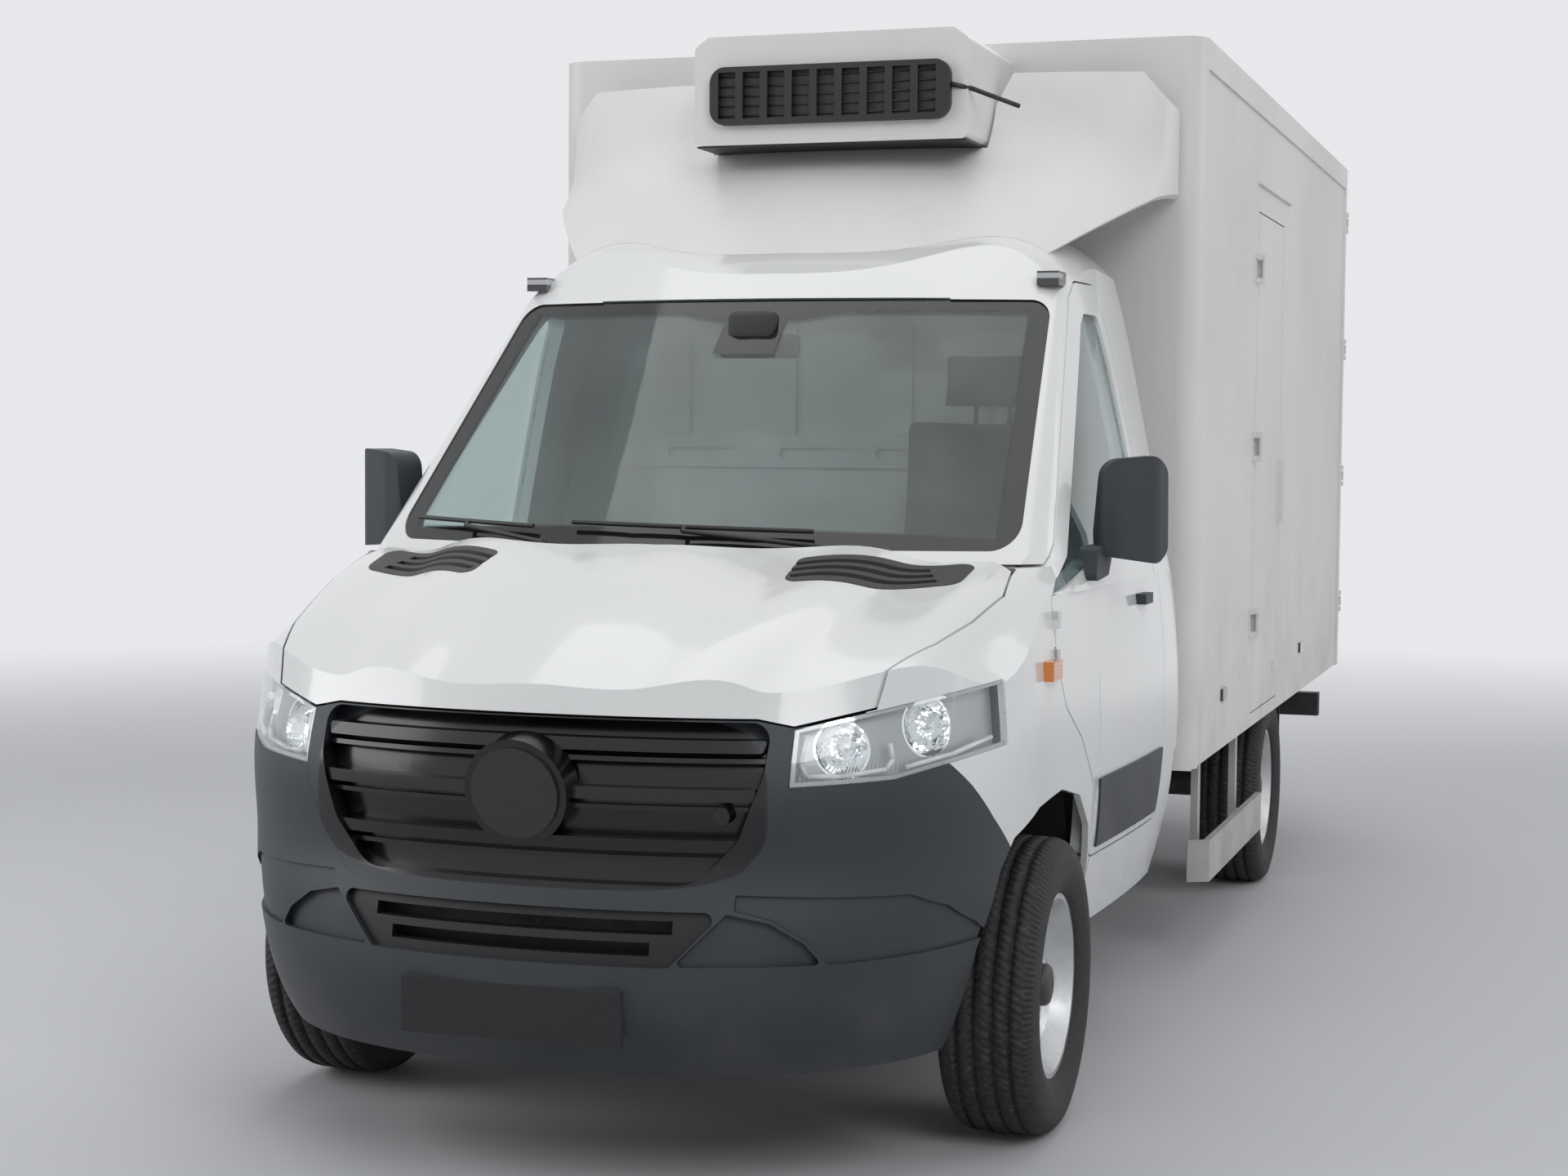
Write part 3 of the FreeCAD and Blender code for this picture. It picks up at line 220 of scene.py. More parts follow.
panel = {"white": tone(0.78, 0.775, 0.76), "grey": tone(0.69, 0.69, 0.675), "film": tone(0.44, 0.42, 0.37),
         "filmTop": 1.6, "filmAmount": 0.40, "streak": (7.0, 5.0, (1.0, 1.0, 0.12)), "streakRange": (0.45, 0.8),
         "streakShare": 0.3, "cloud": (1.1, 4.0), "cloudRange": (0.3, 0.75), "cloudShare": 0.45,
         "cloudRough": 0.12, "rough": 0.42, "grain": (160.0, 3.0), "waves": (3.0, 2.0), "waveShare": 2.0,
         "bump": (0.12, 0.001), "specular": 0.4}


def boxPaint(name, rough, warm):
    finish = Finish(name)
    streak = finish.ramp(finish.noise(*panel["streak"]), *panel["streakRange"])
    cloud = finish.ramp(finish.noise(*panel["cloud"]), *panel["cloudRange"])
    film = dust(finish, panel["filmTop"], panel["filmAmount"])
    share = cloud * panel["cloudShare"] + streak * panel["streakShare"]
    base = finish.mixed(share, panel["white"], panel["grey"])
    base = finish.mixed(film + warm, base, panel["film"])
    height = finish.noise(*panel["grain"]) + finish.noise(*panel["waves"]) * panel["waveShare"]
    return finish.done(finish.surface({"Base Color": base, "Roughness": cloud * panel["cloudRough"] + rough,
                                       "Normal": finish.bump(height, *panel["bump"]),
                                       "Specular IOR Level": panel["specular"]}))


plastic = {"patch": (4.0, 5.0), "patchRange": (0.3, 0.8), "patchShare": 0.6, "patchRough": 0.12,
           "dustRough": 0.2, "bump": (0.25, 0.0006)}


def grained(name, colour, light, rough, grain, film=0.25):
    # moulded plastic with a fine leathery grain, paler where it is dusty
    finish = Finish(name)
    patchy = finish.ramp(finish.noise(*plastic["patch"]), *plastic["patchRange"])
    road = dust(finish, roadDust["top"], film)
    base = finish.mixed(road, finish.mixed(patchy * plastic["patchShare"], colour, light), roadDust["colour"])
    roughness = patchy * plastic["patchRough"] + rough + road * plastic["dustRough"]
    return finish.done(finish.surface({"Base Color": base, "Roughness": roughness,
                                       "Normal": finish.bump(finish.cells(grain), *plastic["bump"])}))


bumperLook = {"dark": tone(0.024, 0.029, 0.036), "pale": tone(0.031, 0.036, 0.043),
              "dust": tone(0.24, 0.23, 0.21), "holder": tone(0.007, 0.007, 0.008),
              "dustTop": 0.7, "dustAmount": 0.10, "patchRough": 0.10, "rough": 0.46,
              "half": 0.2525, "low": 0.3675, "high": 0.4885, "face": -0.9805, "grain": 900.0,
              "dots": 60.0, "dotRange": (0.10, 0.16), "dotHeight": 3.0}


def bumperFinish(look):
    # charcoal moulding with a black, bare plate holder
    finish = Finish("bumperPlastic")
    patchy = finish.ramp(finish.noise(*plastic["patch"]), *plastic["patchRange"])
    road = dust(finish, look["dustTop"], look["dustAmount"])
    holder = (abs(finish.x) < look["half"]) * (finish.z < look["high"]) * (finish.z > look["low"])
    holder = holder * (finish.y < frontAxleY + look["face"])
    dots = finish.ramp(finish.cells(look["dots"]), *look["dotRange"])
    base = finish.mixed(patchy * plastic["patchShare"], look["dark"], look["pale"])
    base = finish.mixed(road, base, look["dust"])
    base = finish.mixed(holder, base, look["holder"])
    height = finish.cells(look["grain"]) * (1.0 - holder) + dots * holder * look["dotHeight"]
    roughness = patchy * look["patchRough"] + look["rough"] + road * plastic["dustRough"]
    return finish.done(finish.surface({"Base Color": base, "Roughness": roughness,
                                       "Normal": finish.bump(height, *plastic["bump"])}))


guideLook = {"white": tone(0.86, 0.87, 0.88), "smear": tone(0.06, 0.06, 0.06), "patch": (9.0, 4.0),
             "patchRange": (0.4, 0.8), "patchShare": 0.3, "patchRough": 0.15, "rough": 0.10, "coat": 0.6,
             "coatRough": 0.05}


def glossy(name, look):
    finish = Finish(name)
    smear = finish.ramp(finish.noise(*look["patch"]), *look["patchRange"])
    base = finish.mixed(smear * look["patchShare"], look["white"], look["smear"])
    rough = smear * look["patchRough"] + look["rough"]
    return finish.done(finish.surface({"Base Color": base, "Roughness": rough,
                                       "Coat Weight": look["coat"], "Coat Roughness": look["coatRough"]}))


wornMetal = {"wear": (14.0, 6.0), "wearRange": (0.35, 0.75), "wearShare": 0.4, "darker": 0.6, "wearRough": 0.2,
             "spots": (45.0, 4.0), "spotRange": (0.55, 0.8), "spotShare": 0.25, "stain": tone(0.20, 0.15, 0.11),
             "cast": (90.0, 4.0), "brushed": (260.0, 2.0), "bump": (0.15, 0.0008)}


def metal(name, colour, rough, shine=1.0, brushed=None):
    # metal or a thin coat of paint on it, worn darker in places and stained in small spots
    finish = Finish(name)
    wear = finish.ramp(finish.noise(*wornMetal["wear"]), *wornMetal["wearRange"])
    spots = finish.ramp(finish.noise(*wornMetal["spots"]), *wornMetal["spotRange"])
    worn = tone(*(channel * wornMetal["darker"] for channel in colour[:3]))
    base = finish.mixed(wear * wornMetal["wearShare"], colour, worn)
    base = finish.mixed(spots * wornMetal["spotShare"], base, wornMetal["stain"])
    fine = finish.noise(*wornMetal["brushed"], brushed) if brushed else finish.noise(*wornMetal["cast"])
    return finish.done(finish.surface({"Base Color": base, "Roughness": wear * wornMetal["wearRough"] + rough,
                                       "Metallic": shine, "Normal": finish.bump(fine, *wornMetal["bump"])}))


grilleLook = {"surround": tone(0.030, 0.035, 0.042), "louvre": tone(0.006, 0.006, 0.007),
              "intake": tone(0.004, 0.004, 0.005), "rim": tone(0.010, 0.010, 0.011),
              "disc": tone(0.045, 0.046, 0.048), "halfWide": 0.535, "halfHigh": 0.185, "middle": 0.875,
              "cornerRange": (0.92, 1.0), "intakeTop": 0.66, "discMiddle": 0.895, "discRadius": 0.101,
              "rimRadius": 0.1192, "discFace": -0.955, "rimFace": -0.95, "grain": (500.0, 2.0),
              "bump": (0.2, 0.0006), "cloud": (12.0, 3.0), "cloudRough": 0.10, "rough": 0.47,
              "louvreShine": 0.33, "discRough": 0.18, "discMetal": 0.5}


def grilleFinish(look):
    # charcoal surround, gloss-black louvres and a bare round place, told apart by where they are
    finish = Finish("grilleFinish")
    across = abs(finish.x) / look["halfWide"]
    upward = abs(finish.z - look["middle"]) / look["halfHigh"]
    corner = across * across * across * across + upward * upward * upward * upward
    inside = 1.0 - finish.ramp(corner, *look["cornerRange"])
    above = finish.z - look["discMiddle"]
    spread = finish.x * finish.x + above * above
    disc = (spread < look["discRadius"] ** 2) * (finish.y < frontAxleY + look["discFace"])
    rim = (spread < look["rimRadius"] ** 2) * (finish.y < frontAxleY + look["rimFace"])
    grain = finish.noise(*look["grain"])
    colour = finish.mixed(inside, look["surround"], look["louvre"])
    colour = finish.mixed(finish.z < look["intakeTop"], colour, look["intake"])
    colour = finish.mixed(rim, colour, look["rim"])
    colour = finish.mixed(disc, colour, look["disc"])
    rough = finish.noise(*look["cloud"]) * look["cloudRough"] + look["rough"]
    rough = rough - inside * look["louvreShine"] + disc * look["discRough"]
    return finish.done(finish.surface({"Base Color": colour, "Roughness": rough,
                                       "Metallic": disc * look["discMetal"],
                                       "Normal": finish.bump(grain * (1.0 - inside), *look["bump"])}))


screenBand = {"dark": tone(0.012, 0.013, 0.014), "edge": 0.836, "foot": 1.38, "lean": 0.1234, "side": 0.050,
              "top": 1.992, "bottom": 1.432, "bow": 0.03, "soft": 0.010, "hoodHalf": 0.30, "hoodLow": 1.96,
              "hoodBow": 0.5, "hoodSoft": 0.006, "postX": -0.005, "postHalf": 0.085, "postLow": 1.87}


def darkBand(finish, look):
    # the dark border of the windscreen, wider at the top round the sensor housing
    edge = look["edge"] - (finish.z - look["foot"]) * look["lean"] - abs(finish.x)
    band = 1.0 - finish.ramp(edge, look["side"], look["side"] + look["soft"])
    band = band.larger(finish.ramp(finish.z, look["top"] - look["soft"], look["top"]))
    low = look["bottom"] - finish.x * finish.x * look["bow"]
    band = band.larger(finish.ramp(low - finish.z, 0.0, look["soft"]))
    dip = look["hoodLow"] + abs(finish.x) * abs(finish.x) * look["hoodBow"]
    hood = finish.ramp(finish.z, dip - look["hoodSoft"], dip + look["hoodSoft"])
    hood = (abs(finish.x) < look["hoodHalf"]) * hood
    post = (abs(finish.x - look["postX"]) < look["postHalf"]) * (finish.z > look["postLow"])
    return band.larger(hood).larger(post)


paneLook = {"shine": tone(1.0, 1.0, 1.0), "rough": 0.02, "grazing": 0.7, "straight": 0.025,
            "haze": (3.0, 4.0), "hazeRange": (0.3, 0.9), "hazeShare": 0.02, "bandRough": 0.06,
            "bandPatch": 20.0, "bandPatchRough": 0.05}


def paneFinish(name, tint, banded):
    # thin clear glass that mirrors more at a grazing angle, with a light haze
    finish = Finish(name)
    facing = finish.node("ShaderNodeLayerWeight", {}, {"Blend": 0.5})
    clear = finish.node("ShaderNodeBsdfTransparent", {}, {"Color": tint})
    shine = finish.node("ShaderNodeBsdfGlossy", {}, {"Color": paneLook["shine"],
                                                     "Roughness": paneLook["rough"]})
    graze = Value(finish, facing.outputs["Facing"])
    gleam = graze * graze * graze * graze * paneLook["grazing"] + paneLook["straight"]
    haze = finish.ramp(finish.noise(*paneLook["haze"]), *paneLook["hazeRange"]) * paneLook["hazeShare"]
    glass = finish.node("ShaderNodeMixShader", {}, {0: gleam + haze, 1: clear.outputs[0],
                                                    2: shine.outputs[0]}).outputs[0]
    if banded:
        patchy = finish.noise(paneLook["bandPatch"]) * paneLook["bandPatchRough"]
        dark = finish.surface({"Base Color": screenBand["dark"], "Roughness": patchy + paneLook["bandRough"]})
        glass = finish.node("ShaderNodeMixShader", {}, {0: darkBand(finish, screenBand), 1: glass,
                                                        2: dark}).outputs[0]
    return finish.done(glass)


treadLook = {"rubber": tone(0.018, 0.018, 0.019), "dust": tone(0.085, 0.080, 0.072), "tread": (0.338, 0.346),
             "sipes": 110.0, "slant": 160.0, "bars": 150.0, "barFoot": (0.318, 0.324), "barTop": (0.342, 0.347),
             "rings": 900.0, "ringTop": (0.300, 0.306), "ringHeight": 0.3, "sipeHeight": 0.6, "barHeight": 0.8,
             "grit": (60.0, 6.0), "gritHeight": 0.15, "gritRange": (0.4, 0.8), "bump": (0.7, 0.003),
             "wornSide": 0.4, "wornTread": 0.5, "wornShare": 0.7, "rough": 0.68, "gritRough": 0.15}


def tyreFinish(name, centre, look):
    # ribs across the tread, rings and short bars on the shoulder, dusty grooves
    finish = Finish(name)
    along = finish.y - centre.y
    upward = finish.z - centre.z
    angle = Value(finish, finish.node("ShaderNodeMath", {"operation": "ARCTAN2"},
                                      {0: along, 1: upward}).outputs[0])
    radius = finish.root(along * along + upward * upward)
    across = abs(finish.x - centre.x)
    tread = finish.ramp(radius, *look["tread"])
    sipes = (angle * look["sipes"] + across * look["slant"]).sine()
    shoulder = finish.ramp(radius, *look["barFoot"]) * (1.0 - finish.ramp(radius, *look["barTop"]))
    bars = (angle * look["bars"]).sine() * shoulder
    sidewall = 1.0 - finish.ramp(radius, *look["ringTop"])
    rings = (radius * look["rings"]).sine() * sidewall * look["ringHeight"]
    grit = finish.noise(*look["grit"])
    height = sipes * tread * look["sipeHeight"] + bars * look["barHeight"] + rings + grit * look["gritHeight"]
    worn = finish.ramp(grit, *look["gritRange"]) * (look["wornSide"] + tread * look["wornTread"])
    base = finish.mixed(worn * look["wornShare"], look["rubber"], look["dust"])
    return finish.done(finish.surface({"Base Color": base, "Roughness": grit * look["gritRough"] + look["rough"],
                                       "Normal": finish.bump(height, *look["bump"])}))


lampLook = {"smoked": tone(0.03, 0.03, 0.032), "red": tone(0.45, 0.012, 0.010),
            "amber": tone(0.75, 0.22, 0.02), "clear": tone(0.50, 0.51, 0.52), "rearFrom": 3.1, "wingTo": 0.1,
            "lensLow": 2.079, "lensHigh": 2.093, "lensTo": 0.84, "ribsUp": 700.0, "ribsAlong": 500.0,
            "bump": (0.2, 0.001), "cloud": 30.0, "cloudRough": 0.08, "rough": 0.12, "coat": 0.8,
            "coatRough": 0.04}


def lampFinish(look):
    # red at the rear, amber on the front wings, clear strips on the roof, smoked on the box
    finish = Finish("lampFinish")
    base = finish.mixed(finish.y > look["rearFrom"], look["smoked"], look["red"])
    base = finish.mixed(finish.y < frontAxleY + look["wingTo"], base, look["amber"])
    lens = (finish.z > look["lensLow"]) * (finish.z < look["lensHigh"])
    lens = lens * (finish.y < frontAxleY + look["lensTo"])
    base = finish.mixed(lens, base, look["clear"])
    ribs = (finish.z * look["ribsUp"]).sine() + (finish.y * look["ribsAlong"]).sine()
    rough = finish.noise(look["cloud"]) * look["cloudRough"] + look["rough"]
    return finish.done(finish.surface({"Base Color": base, "Roughness": rough,
                                       "Normal": finish.bump(ribs, *look["bump"]),
                                       "Coat Weight": look["coat"], "Coat Roughness": look["coatRough"]}))


headlampLook = {"housing": tone(0.45, 0.46, 0.47), "mirror": tone(0.92, 0.93, 0.94),
                "bowls": ((0.663, -0.748, 0.993, 0.067), (0.813, -0.590, 1.030, 0.071)),   # x, y, z, reach
                "facets": 70.0, "ribs": 900.0, "ribTop": 0.955, "ribHeight": 0.3, "bump": (0.35, 0.003),
                "metal": 0.4, "bowlMetal": 0.6, "cloud": 40.0, "cloudRough": 0.1, "rough": 0.32,
                "bowlShine": 0.24}


def headlampFinish(look):
    # bright bowls in a silver-grey housing
    finish = Finish("headlampFinish")

    def bowl(x, y, z, reach):
        gaps = (abs(finish.x) - x, finish.y - (y + frontAxleY), finish.z - z)
        return (gaps[0] * gaps[0] + gaps[1] * gaps[1] + gaps[2] * gaps[2]) < reach * reach

    inner, outer = look["bowls"]
    bright = bowl(*inner).larger(bowl(*outer))
    facets = finish.cells(look["facets"])
    ribs = (finish.x * look["ribs"]).sine() * (finish.z < look["ribTop"])
    base = finish.mixed(bright, look["housing"], look["mirror"])
    rough = finish.noise(look["cloud"]) * look["cloudRough"] + look["rough"] - bright * look["bowlShine"]
    height = facets * bright + ribs * look["ribHeight"]
    return finish.done(finish.surface({"Base Color": base, "Roughness": rough,
                                       "Metallic": bright * look["bowlMetal"] + look["metal"],
                                       "Normal": finish.bump(height, *look["bump"])}))


fabric = {"dark": tone(0.020, 0.020, 0.022), "thread": tone(0.042, 0.042, 0.046), "weave": 2400.0,
          "fluff": (120.0, 5.0), "fluffShare": 0.6, "threadRange": (0.1, 1.1), "fluffRough": 0.1,
          "rough": 0.82, "bump": (0.5, 0.0015), "sheen": 0.3}


def seatFabric():
    finish = Finish("seatFabric")
    across = (finish.x * fabric["weave"]).sine()
    weave = across * (finish.z * fabric["weave"] + finish.y * fabric["weave"]).sine()
    fluff = finish.noise(*fabric["fluff"])
    thread = finish.ramp(weave + fluff * fabric["fluffShare"], *fabric["threadRange"])
    base = finish.mixed(thread, fabric["dark"], fabric["thread"])
    return finish.done(finish.surface({"Base Color": base,
                                       "Roughness": fluff * fabric["fluffRough"] + fabric["rough"],
                                       "Normal": finish.bump(weave + fluff, *fabric["bump"]),
                                       "Sheen Weight": fabric["sheen"]}))


print("making finishes")
cabWhite = cabPaint()
boxWhite = boxPaint("boxPaint", panel["rough"], 0.0)
profileWhite = boxPaint("profilePaint", 0.34, 0.03)
moulding = boxPaint("glassFibre", 0.33, 0.0)
charcoal = grained("charcoalPlastic", tone(0.030, 0.035, 0.042), tone(0.040, 0.045, 0.052), 0.50, 900.0)
darkTrim = grained("blackPlastic", tone(0.012, 0.012, 0.013), tone(0.024, 0.024, 0.026), 0.42, 1100.0)
cabinPlastic = grained("cabinPlastic", tone(0.030, 0.031, 0.033), tone(0.045, 0.046, 0.048), 0.62, 800.0, 0.0)
chassisBlack = metal("chassisPaint", tone(0.035, 0.035, 0.037), 0.55, 0.0)
castIron = metal("castIron", tone(0.16, 0.155, 0.15), 0.6, 0.6)
steel = metal("plainSteel", tone(0.50, 0.50, 0.50), 0.32, 1.0)
rimSilver = metal("rimSilver", tone(0.62, 0.63, 0.64), 0.30, 0.75)
brightMetal = metal("brightMetal", tone(0.75, 0.76, 0.77), 0.16, 1.0)
aluminium = metal("aluminium", tone(0.66, 0.67, 0.68), 0.36, 0.8, (1.0, 0.04, 1.0))
rubber = grained("rubber", tone(0.016, 0.016, 0.017), tone(0.030, 0.030, 0.030), 0.75, 700.0, 0.35)
guardGrey = grained("guardGrey", tone(0.50, 0.50, 0.48), tone(0.58, 0.58, 0.56), 0.45, 500.0, 0.5)
guideWhite = glossy("guideWhite", guideLook)
screenGlass = paneFinish("screenGlass", tone(0.82, 0.87, 0.86), True)
sideGlass = paneFinish("sideGlass", tone(0.80, 0.86, 0.85), False)
lensClear = paneFinish("lensClear", tone(0.97, 0.98, 0.98), False)
seatCloth = seatFabric()

dressing = [
    (cabWhite, "cab_sides cab_roof cab_rear_wall cab_door_left cab_door_right hood fenders"),
    (boxWhite, "box_front_wall box_side_walls box_roof box_side_door rear_door_left rear_door_right"),
    (profileWhite, "box_frame"),
    (moulding, "wind_deflector cooling_unit"),
    (charcoal, "door_trim_left door_trim_right"),
    (bumperFinish(bumperLook), "front_bumper"),
    (darkTrim, "cowl hood_vents wipers cooling_grille wheel_housings fuel_tank"),
    (cabinPlastic, "dashboard steering_wheel cab_floor"),
    (chassisBlack, "frame front_suspension leaf_springs rear_bumper"),
    (castIron, "engine rear_axle knuckle_left knuckle_right"),
    (steel, "exhaust"),
    (aluminium, "radiator box_floor"),
    (rimSilver, "rim_front_left rim_front_right rim_rear_left rim_rear_right"),
    (rubber, "mud_flaps driver_seat tyre_front_left tyre_front_right tyre_rear_left tyre_rear_right"),
    (guardGrey, "side_guards"),
    (screenGlass, "windshield"),
    (sideGlass, "door_glass_left door_glass_right"),
    (lensClear, "headlamp_lenses"),
    (headlampFinish(headlampLook), "headlamps"),
    (grilleFinish(grilleLook), "grille"),
    (lampFinish(lampLook), "lamps"),
]


def dressNode(name, material):
    owner = nodes.get(name)
    if owner is None:
        return
    if not owner.material_slots:
        owner.data.materials.append(material)
    for slot in owner.material_slots:
        slot.material = material


for material, names in dressing:
    for name in names.split():
        dressNode(name, material)
print("dressed", len(nodes), "nodes")


# Making pieces
def keepPiece(name, bm, material, body, smooth=True, subdivision=0):
    bmesh.ops.remove_doubles(bm, verts=bm.verts, dist=1e-6)
    bmesh.ops.recalc_face_normals(bm, faces=bm.faces)
    mesh = bpy.data.meshes.new(name)
    bm.to_mesh(mesh)
    bm.free()
    mesh.materials.append(material)
    piece = bpy.data.objects.new(name, mesh)
    bpy.context.scene.collection.objects.link(piece)
    for face in mesh.polygons:
        face.use_smooth = smooth
    if subdivision:
        fine = piece.modifiers.new("fine", "SUBSURF")
        fine.levels = subdivision
        fine.render_levels = subdivision
    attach(piece, body)
    return piece


def addBlock(bm, low, high, rounding=0.0, segments=2):
    made = bmesh.ops.create_cube(bm, size=1.0)
    size = high - low
    bmesh.ops.scale(bm, vec=size, verts=made["verts"])
    bmesh.ops.translate(bm, vec=(low + high) / 2.0, verts=made["verts"])
    if rounding:
        edges = list({edge for vert in made["verts"] for edge in vert.link_edges})
        bmesh.ops.bevel(bm, geom=edges, offset=rounding, segments=segments, profile=0.5, affect="EDGES",
                        material=-1)


def addRod(bm, start, end, radius, sides=16, tip=None):
    along = end - start
    turn = along.to_track_quat("Z", "Y").to_matrix().to_4x4()
    place = Matrix.Translation((start + end) / 2.0) @ turn
    bmesh.ops.create_cone(bm, cap_ends=True, segments=sides, radius1=radius,
                          radius2=radius if tip is None else tip, depth=along.length, matrix=place)


def spinProfile(bm, points, centre, axis, steps):
    # a closed ring of points turned once round an axis
    corners = [bm.verts.new(point) for point in points]
    ring = [bm.edges.new((a, b)) for a, b in zip(corners, corners[1:] + corners[:1])]
    bmesh.ops.spin(bm, geom=corners + ring, cent=centre, axis=axis, dvec=(0, 0, 0), angle=2.0 * math.pi,
                   steps=steps, use_merge=True, use_duplicate=False)


treeCache = {}


def onSurface(node, start, direction, lift=0.0):
    # where a ray meets a node, moved back towards its start by lift
    if node not in treeCache:
        mesh = nodes[node].data
        treeCache[node] = BVHTree.FromPolygons([vertex.co for vertex in mesh.vertices],
                                               [face.vertices for face in mesh.polygons])
    hit = treeCache[node].ray_cast(start, direction)[0]
    if hit is None:
        return None
    return hit - direction * lift


# Tyres: the tread's grooves and the sidewall's steps are turned, the fine pattern is in the rubber
wheelPlaces = {"front": (868.0, 0.0), "rear": (854.5, 3665.0)}      # across and along, on both sides
tyreShape = {
    "radius": 0.353, "steps": 120, "crown": 0.35,
    "sidewall": [(-0.082, 0.213), (-0.098, 0.222), (-0.108, 0.240), (-0.1165, 0.268), (-0.1175, 0.290),
                 (-0.1145, 0.312), (-0.110, 0.328), (-0.102, 0.338), (-0.094, 0.345), (-0.080, 0.350)],
    "grooves": (-0.062, -0.022, 0.022, 0.062), "deep": 0.008, "half": 0.0045, "slope": 0.0015,
    "bead": [(0.076, 0.2125), (-0.076, 0.2125)],
}


def wheelCentre(axle, side):
    x, y = wheelPlaces[axle]
    return at(side * x, y, tyreShape["radius"] * 1000.0)


def makeTyre(axle, side, shape):
    centre = wheelCentre(axle, side)
    outline = list(shape["sidewall"])
    for groove in shape["grooves"]:
        crown = shape["radius"] - shape["crown"] * groove * groove
        foot, lip = shape["half"], shape["half"] + shape["slope"]
        outline += [(groove - lip, crown), (groove - foot, crown - shape["deep"]),
                    (groove + foot, crown - shape["deep"]), (groove + lip, crown)]
        if groove == shape["grooves"][1]:
            outline.append((0.0, shape["radius"]))
    outline += [(-x, r) for x, r in reversed(shape["sidewall"])] + shape["bead"]
    bm = bmesh.new()
    spinProfile(bm, [centre + Vector((x, 0.0, r)) for x, r in outline], centre, (1, 0, 0), shape["steps"])
    name = "tyre_%s_%s" % (axle, sideOf(side))
    rubberFinish = tyreFinish("rubber_" + name, centre, treadLook)
    piece = keepPiece("tread_" + name, bm, rubberFinish, "wheel_%s_%s" % (axle, sideOf(side)))
    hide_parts(name)


# Wheel fittings: six nuts on washers, a valve and a centre cap
wheelFittings = {
    "nuts": 6, "circle": 0.082, "washer": (0.036, 0.041, 0.018), "nut": (0.041, 0.056, 0.0125), "nutTip": 0.010,
    "valve": (0.045, 0.075, 0.004), "valveRadius": 0.158, "capSteps": 32,
    "cap": [(0.0615, 0.0505), (0.072, 0.050), (0.080, 0.044), (0.084, 0.030), (0.085, 0.012), (0.085, 0.001),
            (0.065, 0.001), (0.065, 0.036), (0.0615, 0.036)],
}


def makeWheelFittings(axle, side, plan):
    centre = wheelCentre(axle, side)
    out = Vector((side, 0.0, 0.0))
    body = "wheel_%s_%s" % (axle, sideOf(side))

    def standing(bm, spot, part, sides, tip=None):
        inner, outer, radius = plan[part]
        addRod(bm, spot + out * inner, spot + out * outer, radius, sides, tip)

    bm = bmesh.new()
    for index in range(plan["nuts"]):
        turn = 2.0 * math.pi * index / plan["nuts"]
        spot = centre + Vector((0.0, math.sin(turn), math.cos(turn))) * plan["circle"]
        standing(bm, spot, "washer", 12)
        standing(bm, spot, "nut", 6, plan["nutTip"])
    standing(bm, centre + Vector((0.0, 0.0, plan["valveRadius"])), "valve", 10)
    keepPiece("nuts_%s_%s" % (axle, sideOf(side)), bm, brightMetal, body, smooth=False)
    bm = bmesh.new()
    ring = [centre + out * reach + Vector((0.0, 0.0, radius)) for reach, radius in plan["cap"]]
    spinProfile(bm, ring, centre, (1, 0, 0), plan["capSteps"])
    keepPiece("cap_%s_%s" % (axle, sideOf(side)), bm, darkTrim, body)


for axle in ("front", "rear"):
    for side in (1, -1):
        makeTyre(axle, side, tyreShape)
        makeWheelFittings(axle, side, wheelFittings)
print("wheels done")


# Driver's seat: padded pieces on a plain base
seatPads = {
    "cushion": {"low": (232, 742, 1046), "high": (728, 1178, 1158), "bend": 0.0, "sew": 2},
    "back": {"low": (242, 1080, 1162), "high": (718, 1200, 1700), "bend": 0.20, "sew": 2},
    "headrest": {"low": (345, 1215, 1742), "high": (615, 1295, 1888), "bend": 0.09, "sew": 0},
}
padCut = {"cuts": 11, "rim": 0.62, "pullWide": 0.035, "pullLong": 0.03,
          "seam": 0.45, "seamHalf": 0.09, "stitch": 0.90}
seatBase = {"foot": ((285, 785, 791), (675, 1145, 985), 0.012),
            "shell": ((250, 770, 985), (710, 1160, 1044), 0.020),
            "stalks": (430, 530), "stalkFoot": (1258, 1690), "stalkTop": (1272, 1760), "stalk": 0.007}


def makePad(name, pad, cut):
    low, high = at(*pad["low"]), at(*pad["high"])
    size = high - low
    middle = (low + high) / 2.0
    thin = min(range(3), key=lambda i: size[i])
    bm = bmesh.new()
    bmesh.ops.create_cube(bm, size=1.0)
    bmesh.ops.subdivide_edges(bm, edges=bm.edges, cuts=cut["cuts"], use_grid_fill=True)
    wide = [i for i in range(3) if i != thin]
    for vert in bm.verts:
        u, v = (vert.co[i] * 2.0 for i in wide)
        crown = max(0.0, (1.0 - u ** 4) * (1.0 - v ** 4)) ** 0.5
        vert.co[thin] *= cut["rim"] + (1.0 - cut["rim"]) * crown      # thin at its rim
        vert.co[wide[0]] *= 1.0 - cut["pullWide"] * (1.0 - v * v)      # sides pull in between the corners
        vert.co[wide[1]] *= 1.0 - cut["pullLong"] * (1.0 - u * u)
        for seam in range(pad["sew"]):
            offset = abs(u - cut["seam"] * (2 * seam - 1))
            if offset < cut["seamHalf"]:
                vert.co[thin] *= cut["stitch"] + offset
    bmesh.ops.scale(bm, vec=size, verts=bm.verts)
    bmesh.ops.translate(bm, vec=middle, verts=bm.verts)
    for vert in bm.verts:
        vert.co.y += pad["bend"] * max(0.0, vert.co.z - low.z) * (1.0 if thin == 1 else 0.0)
    piece = keepPiece("seat_" + name, bm, seatCloth, "root", subdivision=1)
    return piece


